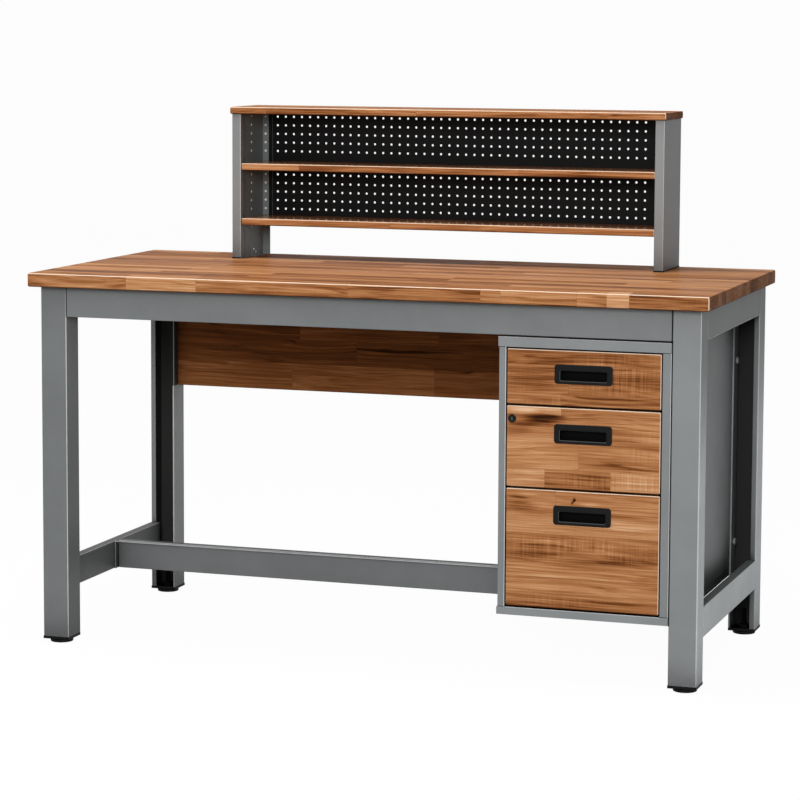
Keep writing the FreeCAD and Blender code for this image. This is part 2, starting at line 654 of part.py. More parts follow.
lock_hole = rod("lock_hole", "y", ("lock_x", "face - overrun", "lock_z"), "front_thick + 2 * overrun",
                "lock_radius + lock_fit")
outer_members = []
outer_members += drawer("top", "top_low", "top_high", "top_box", "top_pull_drop", [])
outer_members += drawer("middle", "middle_low", "middle_high", "middle_box", "middle_pull_drop", [lock_hole])
outer_members += drawer("bottom", "bottom_low", "bottom_high", "bottom_box", "bottom_pull_drop", [])
node(group("slide_outers", outer_members))

# Cam lock in the middle drawer's front: its cam swings behind the left post
rim = rod("lock_rim_disc", "y", ("lock_x", "face - lock_rim", "lock_z"), "lock_rim", "lock_rim_radius")
barrel = rod("lock_barrel", "y", ("lock_x", "face - lock_rim / 2", "lock_z"),
             "lock_rim / 2 + front_thick + lock_tail", "lock_radius")
bore = rod("lock_bore", "y", ("lock_x", "face - lock_rim - overrun", "lock_z"),
           "lock_rim + front_thick + lock_tail + 2 * overrun", "plug_radius + running_gap")
node(cut("lock_housing", join("lock_housing_blank", [rim, barrel]), [bore]))
ring = hexagon("lock_ring_blank", "y", ("lock_x", "fronts_back", "lock_z"),
               "lock_nut_thick", "lock_nut_radius")
ring_bore = rod("lock_ring_bore", "y", ("lock_x", "fronts_back - overrun", "lock_z"),
                "lock_nut_thick + 2 * overrun", "lock_radius")
node(cut("lock_ring_nut", ring, [ring_bore]))
plug = rod("lock_plug_blank", "y", ("lock_x", "face - lock_rim", "lock_z"),
           "lock_rim + front_thick + lock_tail + cam_gap", "plug_radius")
keyway = box("keyway", ("lock_x - key_width / 2", "key_width"),
             ("face - lock_rim - overrun", "key_depth + overrun"), ("lock_z - key_length / 2", "key_length"))
node(cut("lock_plug", plug, [keyway]))
node(box("lock_cam", ("lock_x - cam_width / 2", "cam_width"), ("cam_face", "cam_thick"),
         ("lock_z - cam_heel", "cam_heel + cam_reach")))

# Riser uprights: channels with lips, each closed by an inner plate whose rear flange faces the front
for side, word in ((-1, "left"), (1, "right")):
    def corner(distance, y_text):
        return "riser_offset %s (%s)" % ("+" if side > 0 else "-", distance), y_text
    corners = [
        corner("riser_in_x", "riser_face"),
        corner("riser_out_x", "riser_face"),
        corner("riser_out_x", "riser_back"),
        corner("riser_in_x", "riser_back"),
        corner("riser_in_x", "riser_back - upright_rear_lip"),
        corner("riser_in_x + riser_wall", "riser_back - upright_rear_lip"),
        corner("riser_in_x + riser_wall", "riser_back - riser_wall"),
        corner("riser_out_x - riser_wall", "riser_back - riser_wall"),
        corner("riser_out_x - riser_wall", "riser_face + riser_wall"),
        corner("riser_in_x + riser_wall", "riser_face + riser_wall"),
        corner("riser_in_x + riser_wall", "riser_face + upright_lip"),
        corner("riser_in_x", "riser_face + upright_lip"),
    ]
    node(outline("riser_upright_" + word, corners, "top_height", "riser_height - board_thick")[0])
    run = ("riser_face + riser_wall", "riser_depth - 2 * riser_wall")
    rise = between("top_height", "riser_under")
    plate = box("plate_web_" + word,
                beside(side, "riser_in_x + riser_wall", "riser_in_x + 2 * riser_wall"), run, rise)
    flange = box("plate_flange_" + word, beside(side, "flange_end_x", "riser_in_x + 2 * riser_wall"),
                 ("flange_face", "riser_wall"), rise)
    node(join("riser_plate_" + word, [plate, flange]))

# Riser boards
node(box("riser_board", ("riser_offset - riser_out_x - board_side", "riser_width + 2 * board_side"),
         between("riser_face - board_front", "top_depth / 2"), ("riser_under", "board_thick")))
for word in ("upper", "lower"):
    node(box("riser_shelf_" + word, ("riser_offset - riser_in_x", "2 * riser_in_x"),
             between("riser_face + shelf_set_in", "flange_face"), (word + "_shelf", "board_thick")))

# Angle brackets that hold the riser down
brackets = []
for side, word in ((-1, "left"), (1, "right")):
    wall_side = "riser_in_x + riser_wall"
    run = ("riser_face + bracket_back", "bracket_length")
    stands = box("bracket_upright_" + word, beside(side, wall_side + " - bracket_wall", wall_side), run,
                 ("top_height", "bracket_leg"))
    lies = box("bracket_foot_" + word, beside(side, wall_side + " - bracket_leg", wall_side), run,
               ("top_height", "bracket_wall"))
    brackets.append(join("riser_bracket_" + word, [stands, lies]))
node(group("riser_brackets", brackets))


# Perforated panels in front of the flanges: one holed face each, extruded. The holes follow the pitch.
def perforated(name, low, high, lift):
    half = value("flange_end_x + panel_lap")
    middle_x, face_y = value("riser_offset"), value("flange_face - riser_wall")
    field_x = middle_x - value("peg_shift")
    bottom, top = value(low), value(high)
    pitch, hole_half = value("peg_pitch"), value("peg_hole / 2")
    columns, rows = int(round(value("peg_columns"))), int(round(value("peg_rows")))
    middle_z = (bottom + top) / 2 + value(lift)

    def square(x_mid, z_mid, half_x, half_z):
        turns = ((-1, -1), (1, -1), (1, 1), (-1, 1), (-1, -1))
        return Part.makePolygon([FreeCAD.Vector(x_mid + a * half_x, 0, z_mid + b * half_z) for a, b in turns])
    wires = [square(middle_x, (bottom + top) / 2, half, (top - bottom) / 2)]
    for column in range(columns):
        for line in range(rows):
            x_mid = field_x + (column - (columns - 1) / 2) * pitch
            wires.append(square(x_mid, middle_z + (line - (rows - 1) / 2) * pitch, hole_half, hole_half))
    faced = Part.Face(wires, "Part::FaceMakerBullseye")
    panel = doc.addObject("Part::Feature", name)
    panel.Shape = faced.extrude(FreeCAD.Vector(0, value("riser_wall"), 0))
    panel.Placement = FreeCAD.Placement(FreeCAD.Vector(0, face_y, 0), FreeCAD.Rotation())
    node(panel)


perforated("pegboard_upper", "upper_shelf + board_thick", "riser_under", "upper_peg_lift")
perforated("pegboard_lower", "lower_shelf + board_thick", "upper_shelf", "-lower_peg_lift")

# Check everything, then write one file for each sub-part
doc.recompute()
for thing in doc.Objects:
    if "Invalid" in thing.State or "Error" in thing.State:
        raise RuntimeError("%s is %s" % (thing.Label, thing.State))
os.makedirs("parts", exist_ok=True)
for made in nodes:
    if made.Shape.isNull() or not made.Shape.isValid() or not made.Shape.Solids:
        raise RuntimeError(made.Label + " has no valid solid")
for made in nodes:
    made.Shape.exportStep("parts/%s.step" % made.Label)
print(len(nodes), "sub-parts written")
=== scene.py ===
import json
import math

import bmesh
import bpy
import numpy as np
from mathutils import Matrix, Vector


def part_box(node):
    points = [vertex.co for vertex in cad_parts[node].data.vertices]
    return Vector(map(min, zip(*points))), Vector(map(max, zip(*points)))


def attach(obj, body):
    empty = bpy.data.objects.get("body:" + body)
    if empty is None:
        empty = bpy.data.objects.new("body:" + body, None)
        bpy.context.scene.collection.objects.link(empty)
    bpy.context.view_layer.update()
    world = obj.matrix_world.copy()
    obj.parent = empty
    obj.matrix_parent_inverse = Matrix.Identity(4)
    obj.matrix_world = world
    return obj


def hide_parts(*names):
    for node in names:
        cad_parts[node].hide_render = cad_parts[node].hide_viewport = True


# Workbench with a butcher block top, a grey steel frame, three drawers and a perforated riser.
# Metres, +Z up, -Y is the front.

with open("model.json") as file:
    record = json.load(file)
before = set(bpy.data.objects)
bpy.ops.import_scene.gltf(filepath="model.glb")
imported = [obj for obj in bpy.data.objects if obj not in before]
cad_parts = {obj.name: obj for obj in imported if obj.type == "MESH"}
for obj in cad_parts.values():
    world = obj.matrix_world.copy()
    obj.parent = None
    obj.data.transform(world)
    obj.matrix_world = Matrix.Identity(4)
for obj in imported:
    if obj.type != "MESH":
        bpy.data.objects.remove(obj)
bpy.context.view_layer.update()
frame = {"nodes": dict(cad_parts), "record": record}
cadNodes = frame["nodes"]
print("frame loaded:", len(cadNodes), "nodes")


def addObject(name, data):
    made = bpy.data.objects.new(name, data)
    bpy.context.scene.collection.objects.link(made)
    return made


# Camera, fitted to the photograph's edges
cameraSetup = {
    "place": (1.952871, -5.853234, 1.354720),
    "yaw": 18.5754,     # degrees, towards the left of +Y
    "pitch": 5.986,     # degrees down
    "roll": 0.2613,     # degrees
    "lens": 127.331, "sensor": 36.0,    # mm
    "shiftY": -0.1,
}


def makeCamera(setup):
    yaw, pitch, roll = (math.radians(setup[k]) for k in ("yaw", "pitch", "roll"))
    ahead = np.array([-math.sin(yaw) * math.cos(pitch), math.cos(yaw) * math.cos(pitch), -math.sin(pitch)])
    right = np.array([math.cos(yaw), math.sin(yaw), 0.0])
    up = np.cross(right, ahead)
    rolledRight = math.cos(roll) * right + math.sin(roll) * up
    rolledUp = -math.sin(roll) * right + math.cos(roll) * up
    lensData = bpy.data.cameras.new("BenchCamera")
    lensData.sensor_width = setup["sensor"]
    lensData.lens = setup["lens"]
    lensData.shift_y = setup["shiftY"]
    camera = addObject("BenchCamera", lensData)
    turned = np.eye(4)
    turned[:3, :3] = np.column_stack([rolledRight, rolledUp, -ahead])
    turned[:3, 3] = setup["place"]
    camera.matrix_world = Matrix(turned.tolist())
    bpy.context.scene.camera = camera


makeCamera(cameraSetup)
print("camera placed")


# Shader tools. Places and sizes in the materials are metres
def newMaterial(name):
    made = bpy.data.materials.new(name)
    made.use_nodes = True
    made.node_tree.nodes.clear()
    return made, made.node_tree


def feed(tree, socket, wanted):
    # A socket is linked to, and a plain value is set. A color gets its alpha
    if isinstance(wanted, bpy.types.NodeSocket):
        tree.links.new(wanted, socket)
    else:
        socket.default_value = (*wanted, 1) if socket.type == "RGBA" else wanted


def addNode(tree, kind, wanted=None, **settings):
    # The settings come first, because they decide which sockets there are
    made = tree.nodes.new(kind)
    for key, setting in settings.items():
        setattr(made, key, setting)
    for socket, value in (wanted or {}).items():
        feed(tree, made.inputs[socket], value)
    return made


def mathNode(tree, operation, *values):
    return addNode(tree, "ShaderNodeMath", dict(enumerate(values)), operation=operation).outputs[0]


def vectorNode(tree, operation, *values):
    return addNode(tree, "ShaderNodeVectorMath", dict(enumerate(values)), operation=operation).outputs[0]


def scaled(tree, vector, number):
    return addNode(tree, "ShaderNodeVectorMath", {0: vector, "Scale": number}, operation="SCALE").outputs[0]


def split(tree, vector):
    return list(addNode(tree, "ShaderNodeSeparateXYZ", {0: vector}).outputs)


def coordinates(tree):
    found = addNode(tree, "ShaderNodeTexCoord").outputs
    return found["Object"], found["Normal"]


def noiseNode(tree, place, look, output=0):
    # Noise with a scale of its own along each axis, so that it can run with the grain
    detail, roughness, distortion = look["noise"]
    made = addNode(tree, "ShaderNodeTexNoise", {
        "Vector": vectorNode(tree, "MULTIPLY", place, look["scale"]), "Scale": 1.0, "Detail": detail,
        "Roughness": roughness, "Distortion": distortion})
    return made.outputs[output]


def remapped(tree, number, low, high, newLow=0.0, newHigh=1.0):
    wanted = dict(enumerate((number, low, high, newLow, newHigh)))
    return addNode(tree, "ShaderNodeMapRange", wanted, interpolation_type="SMOOTHSTEP").outputs[0]


def colorRamp(tree, number, stops):
    made = addNode(tree, "ShaderNodeValToRGB", {0: number})
    ramp = made.color_ramp
    while len(ramp.elements) < len(stops):
        ramp.elements.new(0.5)
    for element, (position, color) in zip(ramp.elements, stops):
        element.position, element.color = position, (*color, 1)
    return made.outputs[0]


def mixedColor(tree, share, first, second):
    return addNode(tree, "ShaderNodeMix", {0: share, 6: first, 7: second}, data_type="RGBA").outputs[2]


def leanings(tree, facing):
    # The normal's parts, their sizes, how flat the face lies (the largest of the sizes), and how far it
    # faces up or to the right
    parts = split(tree, facing)
    sizes = [mathNode(tree, "ABSOLUTE", part) for part in parts]
    flatness = mathNode(tree, "MAXIMUM", mathNode(tree, "MAXIMUM", sizes[0], sizes[1]), sizes[2])
    return parts, sizes, flatness, mathNode(tree, "MAXIMUM", parts[0], parts[2])


def newGroup(name, inputs):
    # Every surface group gives a color, a roughness and a height
    tree = bpy.data.node_groups.new(name, "ShaderNodeTree")
    outputs = {"Color": "Color", "Roughness": "Float", "Height": "Float"}
    for side, sockets in (("INPUT", inputs), ("OUTPUT", outputs)):
        for label, kind in sockets.items():
            tree.interface.new_socket(label, in_out=side, socket_type="NodeSocket" + kind)
    return tree, addNode(tree, "NodeGroupInput").outputs, addNode(tree, "NodeGroupOutput").inputs


def hollowShade(tree, color, look):
    # Painted shade in hollows and gaps: the color times how open the place is, read by ambient occlusion
    hollow = addNode(tree, "ShaderNodeAmbientOcclusion", {"Distance": look["reach"]}, samples=look["samples"])
    return scaled(tree, color, remapped(tree, hollow.outputs["AO"], *look["open"], look["darkest"], 1.0))


def addSurface(tree, color, roughness, height, bumpDistance, specular=0.5, metallic=0.0):
    bump = addNode(tree, "ShaderNodeBump", {"Strength": 1.0, "Distance": bumpDistance, "Height": height})
    shader = addNode(tree, "ShaderNodeBsdfPrincipled", {
        "Base Color": color, "Roughness": roughness, "Metallic": metallic, "Specular IOR Level": specular,
        "Normal": bump.outputs[0]})
    addNode(tree, "ShaderNodeOutputMaterial", {0: shader.outputs[0]})


# Studio: pale floor that runs up into a backdrop, soft lamps and a plain world
studio = {
    "floorHalf": 16.0, "curveRadius": 3.0, "curvePoints": 17, "backdropY": 14.0, "backdropHeight": 9.0,
    "floorColor": (0.50, 0.505, 0.51),
    "cameraWhite": (0.93, 1.04),    # share and strength of the plain white that the camera sees
    "glossyWhite": 0.6,
    "worldStrength": 0.24,
    "lampAim": (0.0, 0.0, 0.6),
    "lamps": {                  # place, size in metres, watts
        "overheadLamp": ((-0.4, -0.6, 3.6), 2.2, 70.0),
        "frontLamp": ((1.3, -5.2, 2.2), 2.0, 150.0),
        "leftLamp": ((-3.4, -2.2, 2.0), 1.6, 10.0),
    },
}


def makeStudio(setup):
    # Floor profile: flat, then a quarter circle, then straight up
    turn = np.linspace(-np.pi / 2, 0, setup["curvePoints"])
    radius, wallY, reach = setup["curveRadius"], setup["backdropY"], setup["floorHalf"]
    runY = np.concatenate([[-reach], wallY - radius + radius * np.cos(turn), [wallY]])
    runZ = np.concatenate([[0.0], radius + radius * np.sin(turn), [setup["backdropHeight"]]])
    points = np.array([[x, y, z] for x in (-reach, reach) for y, z in zip(runY, runZ)])
    n = len(runY)
    mesh = bpy.data.meshes.new("StudioFloor")
    mesh.from_pydata(points.tolist(), [], [(k, k + n, k + n + 1, k + 1) for k in range(n - 1)])
    mesh.shade_smooth()
    floor = addObject("StudioFloor", mesh)

    # The camera sees mostly plain white, and reflections see part of it
    paper, tree = newMaterial("PaleFloor")
    share, strength = setup["cameraWhite"]
    diffuse = addNode(tree, "ShaderNodeBsdfDiffuse", {"Color": setup["floorColor"]})
    white = addNode(tree, "ShaderNodeEmission", {"Color": (1, 1, 1), "Strength": strength})
    path = addNode(tree, "ShaderNodeLightPath").outputs
    seen = mathNode(tree, "MULTIPLY_ADD", path["Is Glossy Ray"], setup["glossyWhite"], path["Is Camera Ray"])
    mix = addNode(tree, "ShaderNodeMixShader", {
        0: mathNode(tree, "MULTIPLY", seen, share), 1: diffuse.outputs[0], 2: white.outputs[0]})
    addNode(tree, "ShaderNodeOutputMaterial", {0: mix.outputs[0]})
    mesh.materials.append(paper)

    world = bpy.data.worlds.new("StudioWorld")
    world.use_nodes = True
    sky = world.node_tree.nodes["Background"]
    sky.inputs[0].default_value = (1, 1, 1, 1)
    sky.inputs[1].default_value = setup["worldStrength"]
    bpy.context.scene.world = world
    for name, (place, size, watts) in setup["lamps"].items():
        lamp = bpy.data.lights.new(name, "AREA")
        lamp.shape = "DISK"
        lamp.size = size
        lamp.energy = watts
        holder = addObject(name, lamp)
        aim = np.array(setup["lampAim"]) - np.array(place)
        holder.location = place
        holder.rotation_euler = Vector(aim).to_track_quat("-Z", "Y").to_euler()


makeStudio(studio)
bpy.context.scene.view_settings.view_transform = "Standard"
print("studio ready")


# Shape tools. Most new pieces are stacks of rings: an array (ring, point, xyz)
shapeTools = {
    "weld": 1e-6, "close": 1e-5, "digits": 7,
    "smoothAngle": 35.0,        # degrees
    "leastCorner": 0.15,        # of a bend, so that no corner shrinks to a point
    "leastEdge": 0.02,          # of a block's rounded edge, likewise
    "holeSides": 12,
    "seedMix": (12.9898, 78.233, 37.7, 43758.5453),     # row, block, board, then the spread
}


def ringFaces(rings, points, closed):
    # Quads between each ring and the next, and round each ring
    first = np.arange(rings if closed else rings - 1)[:, None] * points
    step = np.arange(points)[None, :]
    ahead = (step + 1) % points
    above = (first + points) % (rings * points)
    return np.stack([first + step, first + ahead, above + ahead, above + step], axis=-1).reshape(-1, 4)


def buildObject(name, points, faces):
    mesh = bpy.data.meshes.new(name)
    mesh.from_pydata(np.asarray(points).reshape(-1, 3).tolist(), [], faces)
    return addObject(name, mesh)


def tidyMesh(made):
    # Doubles go first, then the faces are turned outwards and sharp folds are marked
    shell = bmesh.new()
    shell.from_mesh(made.data)
    bmesh.ops.remove_doubles(shell, verts=shell.verts, dist=shapeTools["weld"])
    bmesh.ops.recalc_face_normals(shell, faces=shell.faces)
    shell.to_mesh(made.data)
    shell.free()
    made.data.shade_smooth()
    made.data.set_sharp_from_angle(angle=math.radians(shapeTools["smoothAngle"]))
    weigh = made.modifiers.new("faceWeights", "WEIGHTED_NORMAL")    # keeps flat faces flat beside round edges
    weigh.keep_sharp = True
    return made


def joinedRings(name, stacks, closed=False):
    # One mesh from several stacks of rings, each closed by its first and last ring
    points, faces, start = [], [], 0
    for rings in stacks:
        count, around = rings.shape[:2]
        faces += (ringFaces(count, around, closed) + start).tolist()
        if not closed:
            faces += [list(range(start, start + around)),
                      list(range(start + (count - 1) * around, start + count * around))]
        points.append(rings.reshape(-1, 3))
        start += count * around
    return tidyMesh(buildObject(name, np.concatenate(points), faces))


def finishPiece(made, body, slotName, material, *replaced):
    made.data.materials.append(material)
    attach(made, body)
    if replaced:
        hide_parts(*replaced)


def laidOut(plane, wide, tall, deep):
    # Points whose three coordinates lie on the axes that the plane names
    points = np.empty((*np.broadcast(wide, tall, deep).shape, 3))
    for axis, numbers in zip(plane, (wide, tall, deep)):
        points[..., axis] = numbers
    return points


def rectRings(rows, plane, steps=4):
    # Rectangles with round corners, one for each row (half width, half height, corner radius, depth,
    # middle across, middle up). A corner is a quarter circle, and straight sides join the corners.
    halfWide, halfTall, corner, depth, midWide, midTall = np.array(rows, float).T[:, :, None]
    turn = ((np.arange(4)[:, None] + np.linspace(0, 1, steps + 1)) * np.pi / 2).ravel()
    sideWide = np.repeat([1, -1, -1, 1], steps + 1)
    sideTall = np.repeat([1, 1, -1, -1], steps + 1)
    return laidOut(plane, midWide + sideWide * (halfWide - corner) + corner * np.cos(turn),
                   midTall + sideTall * (halfTall - corner) + corner * np.sin(turn), depth)


def turnedRings(profile, centre, plane, points):
    # Circles round one axis, one for each profile row (radius, place along the axis)
    radius, along = np.array(profile, float).T[:, :, None]
    turn = np.linspace(0, 2 * np.pi, points, endpoint=False)
    return laidOut(plane, centre[0] + radius * np.cos(turn), centre[1] + radius * np.sin(turn), along)


def foldedSection(corners, bend, wall, steps=5):
    # Section of a folded sheet whose right-angled bends all turn the same way. The outer face goes
    # round each bend on a quarter circle, and the inner face comes back on a smaller one.
    corners = np.array(corners, float)
    runs = np.diff(corners, axis=0)
    runs /= np.linalg.norm(runs, axis=1)[:, None]
    before, after = runs[:-1, None, :], runs[1:, None, :]
    middle = corners[1:-1, None, :] - bend * before + bend * after
    turn = np.linspace(0, np.pi / 2, steps + 1)[None, :, None]
    sweep = np.sin(turn) * before - np.cos(turn) * after
    outer = (middle + bend * sweep).reshape(-1, 2)
    inner = (middle + (bend - wall) * sweep).reshape(-1, 2)
    return np.vstack([
        corners[:1], outer, corners[-1:],
        corners[-1:] - wall * runs[-2], inner[::-1], corners[:1] + wall * runs[1],
    ])


def carriedRings(section, places, plane=(0, 1, 2)):
    # One flat section repeated at each place along the plane's third axis
    return laidOut(plane, section[:, 0], section[:, 1], np.array(places, float)[:, None])


def roundedBlockRings(low, high, edge, plane=(0, 1, 2), steps=3):
    # A block: rectangles stacked along one axis, drawn in along a quarter circle at both ends
    low, high = np.array(low), np.array(high)
    half, middle = (high - low) / 2, (high + low) / 2
    wide, tall, deep = plane
    turn = np.linspace(0, np.pi / 2, steps + 1)
    inset, rise = edge * (1 - np.sin(turn)), edge * (1 - np.cos(turn))
    insets = np.concatenate([inset, inset[::-1]])
    depths = np.concatenate([low[deep] + rise, (high[deep] - rise)[::-1]])
    least = shapeTools["leastEdge"] * edge
    rows = [(half[wide] - i, half[tall] - i, max(edge - i, least), d, middle[wide], middle[tall])
            for i, d in zip(insets, depths)]
    return rectRings(rows, plane, steps)


def holedSheet(name, field, low, high, plane, depth, wall):
    # A sheet with a grid of round holes. Each cell is a ring of quads from a square to a circle with
    # 12 sides, four of whose rays meet the square's corners. One more ring of quads leads from the
    # hole field's border to the sheet's. The same again at the back, and walls between the two.
    sides, pitch = shapeTools["holeSides"], field["pitch"]
    turn = (np.arange(sides) + 0.5) * 2 * np.pi / sides
    circle = np.stack([np.cos(turn), np.sin(turn)], axis=-1)
    square = circle / np.abs(circle).max(axis=1, keepdims=True) * pitch / 2
    counts = np.array([field["columns"], field["rows"]])
    across, up = ((np.arange(n) - (n - 1) / 2) * pitch for n in counts)
    cells = np.stack(np.meshgrid(across, up, indexing="ij"), axis=-1).reshape(-1, 1, 2)
    squares, circles = cells + square, cells + circle * field["holeRadius"]
    inside = np.concatenate([squares, circles], axis=1).reshape(-1, 2)
    step = np.arange(sides)
    ahead = (step + 1) % sides
    quad = np.stack([step, ahead, sides + ahead, sides + step], axis=-1)
    starts = np.arange(len(cells))[:, None, None] * 2 * sides
    reach = counts * pitch / 2
    ringPoints, digits = squares.reshape(-1, 2), shapeTools["digits"]
    isEdge = (np.abs(np.abs(ringPoints) - reach) < 10.0 ** -digits).any(axis=1)
    edgePoints = np.unique(np.round(ringPoints[isEdge], digits), axis=0)
    edgePoints = edgePoints[np.argsort(np.arctan2(*(edgePoints / reach).T[::-1]))]
    middle, low, high = np.array(field["middle"]), np.array(low), np.array(high)
    border = low + (edgePoints + reach) / (2 * reach) * (high - low)
    flat = np.concatenate([inside + middle, edgePoints + middle, border])
    n, total = len(edgePoints), len(flat)
    loop = np.arange(n)
    loopAhead = (loop + 1) % n
    inner, outer = len(inside), len(inside) + n
    front = np.concatenate([(starts + quad).reshape(-1, 4), np.stack(
        [inner + loop, inner + loopAhead, outer + loopAhead, outer + loop], axis=-1)])
    rims = np.concatenate([
        (starts + sides + np.stack([step, ahead], axis=-1)).reshape(-1, 2),
        np.stack([outer + loop, outer + loopAhead], axis=-1)])
    walls = np.concatenate([rims, rims[:, ::-1] + total], axis=1)
    points = laidOut(plane, flat[:, 0], flat[:, 1], np.array([[depth], [depth + wall]]))
    faces = np.concatenate([front, front[:, ::-1] + total, walls])
    return tidyMesh(buildObject(name, points, faces.tolist()))


def staveBoard(name, low, high, across, rows, edge, opening=None, lines=None, steps=2):
    # A glued board whose staves run along X. Its section is the board's edge loop: two long sides with
    # a point at each row line, joined by rounded corners. The section is carried to each place along X
    # where a stave ends and drawn in at the two ends. Each face keeps its stave's tone and seed, and
    # two UV maps hold the distances to the stave's own long and short joints.
    low, high = np.array(low, float), np.array(high, float)
    thick = 3 - across
    rowLines = np.linspace(low[across], high[across], len(rows) + 1)
    if lines:
        rowLines[1:-1] = lines
    rowEnds = [np.array([low[0]] + [end for end, tone in row[:-1]] + [high[0]]) for row in rows]
    turn = np.linspace(0, np.pi / 2, steps + 1)
    cutAcross, cutAlong = ([opening[1], opening[3]], [opening[0], opening[2]]) if opening else ([], [])
    inner = np.unique(np.concatenate([rowLines[1:-1], cutAcross]))
    arc = edge * (1 - np.cos(turn))
    place = np.concatenate([low[across] + arc, inner, high[across] - arc[::-1]])
    rise = edge * (1 - np.sin(turn))
    draw = np.concatenate([rise, np.zeros(len(inner)), rise[::-1]])
    section = np.stack([np.concatenate([place, place[::-1]]),
                        np.concatenate([high[thick] - draw, low[thick] + draw[::-1]])], axis=-1)
    ends = np.unique(np.round(np.concatenate([e[1:-1] for e in rowEnds] + [cutAlong]), 6))
    stations = np.concatenate([low[0] + arc, ends, high[0] - arc[::-1]])
    inset = np.concatenate([rise, np.zeros(len(ends)), rise[::-1]])
    half = (high - low)[[across, thick]] / 2
    middle = (high + low)[[across, thick]] / 2
    shrink = 1 - inset[:, None] / half
    drawn = middle + (section[None] - middle) * shrink[:, None, :]
    count, side = len(stations), len(place)
    rings = laidOut((across, thick, 0), drawn[..., 0], drawn[..., 1], stations[:, None])

    quads = ringFaces(count, 2 * side, False).reshape(count - 1, 2 * side, 4)
    ladder = np.arange(side - 1)
    rung = np.stack([ladder, ladder + 1, 2 * side - 2 - ladder, 2 * side - 1 - ladder], axis=-1)
    faces = [quads.reshape(-1, 4), rung, rung + (count - 1) * 2 * side]
    if opening:
        # The opening's faces go from the front and the back, and four walls close it
        isOpen = np.zeros((count - 1, 2 * side), bool)
        along = slice(*np.searchsorted(stations, np.array(cutAlong) - shapeTools["close"]))
        first, last = np.searchsorted(place, np.array(cutAcross) - shapeTools["close"])
        isOpen[along, first:last] = True
        isOpen[along, 2 * side - 1 - last:2 * side - 1 - first] = True
        points = 2 * side
        faces[0] = quads[~isOpen]
        wallStarts, wallSteps = np.arange(along.start, along.stop) * points, np.arange(first, last)
        for k in (first, last):
            a, b = wallStarts + k, wallStarts + points - 1 - k
            faces.append(np.stack([a, a + points, b + points, b], axis=-1))
        for start in (along.start * points, along.stop * points):
            a, b = start + wallSteps, start + points - 1 - wallSteps
            faces.append(np.stack([a, a + 1, b - 1, b], axis=-1))
    faces = np.concatenate(faces)
    made = buildObject(name, rings, faces.tolist())
    made.data.update()

    # Which stave each face is on
    corners = rings.reshape(-1, 3)[faces]
    centre = corners.mean(axis=1)
    row = np.clip(np.searchsorted(rowLines, centre[:, across]) - 1, 0, len(rows) - 1)
    block = np.empty(len(faces), int)
    tones, starts, stops = (np.empty(len(faces)) for _ in range(3))
    for k, (ends, stavesInRow) in enumerate(zip(rowEnds, rows)):
        here = row == k
        block[here] = np.clip(np.searchsorted(ends, centre[here, 0]) - 1, 0, len(stavesInRow) - 1)
        tones[here] = np.array([tone for end, tone in stavesInRow])[block[here]]
        starts[here], stops[here] = ends[:-1][block[here]], ends[1:][block[here]]
    perRow, perBlock, perBoard, spread = shapeTools["seedMix"]
    seeds = np.modf(np.sin(row * perRow + block * perBlock + low.sum() * perBoard) * spread)[0]
    far = 1.0       # outer borders are no joints, so their distances are put out of reach
    toLow = corners[:, :, across] - rowLines[row][:, None] + far * (row == 0)[:, None]
    toHigh = rowLines[row + 1][:, None] - corners[:, :, across] + far * (row == len(rows) - 1)[:, None]
    toStart = corners[:, :, 0] - starts[:, None] + far * (starts <= low[0] + shapeTools["weld"])[:, None]
    toStop = stops[:, None] - corners[:, :, 0] + far * (stops >= high[0] - shapeTools["weld"])[:, None]
    for mapName, first, second in (("longJoints", toLow, toHigh), ("endJoints", toStart, toStop)):
        layer = made.data.uv_layers.new(name=mapName)
        layer.data.foreach_set("uv", np.stack([first, second], axis=-1).astype(np.float32).ravel())
    for key, numbers in (("tone", tones), ("seed", seeds)):
        layer = made.data.attributes.new(key, "FLOAT", "FACE")
        layer.data.foreach_set("value", numbers.astype(np.float32))
    return tidyMesh(made)


def randomRows(count, low, high, look):
    # Rows of staves with uneven lengths and tones, for boards whose joints the photograph doesn't show
    dice = np.random.default_rng(look["seed"])
    mean, (darkest, lightest) = look["meanLength"], look["tones"]
    rows = []
    for _ in range(count):
        cuts = low + np.cumsum(dice.uniform(0.5, 1.5, int((high - low) / mean) + 6) * mean)
        cuts = np.append(cuts[cuts < high - 0.3 * mean] - dice.uniform(0, 0.4) * mean, high)
        tones = dice.uniform(darkest, lightest, len(cuts))
        rows.append([(float(cut), float(tone)) for cut, tone in zip(cuts, tones)])
    return rows


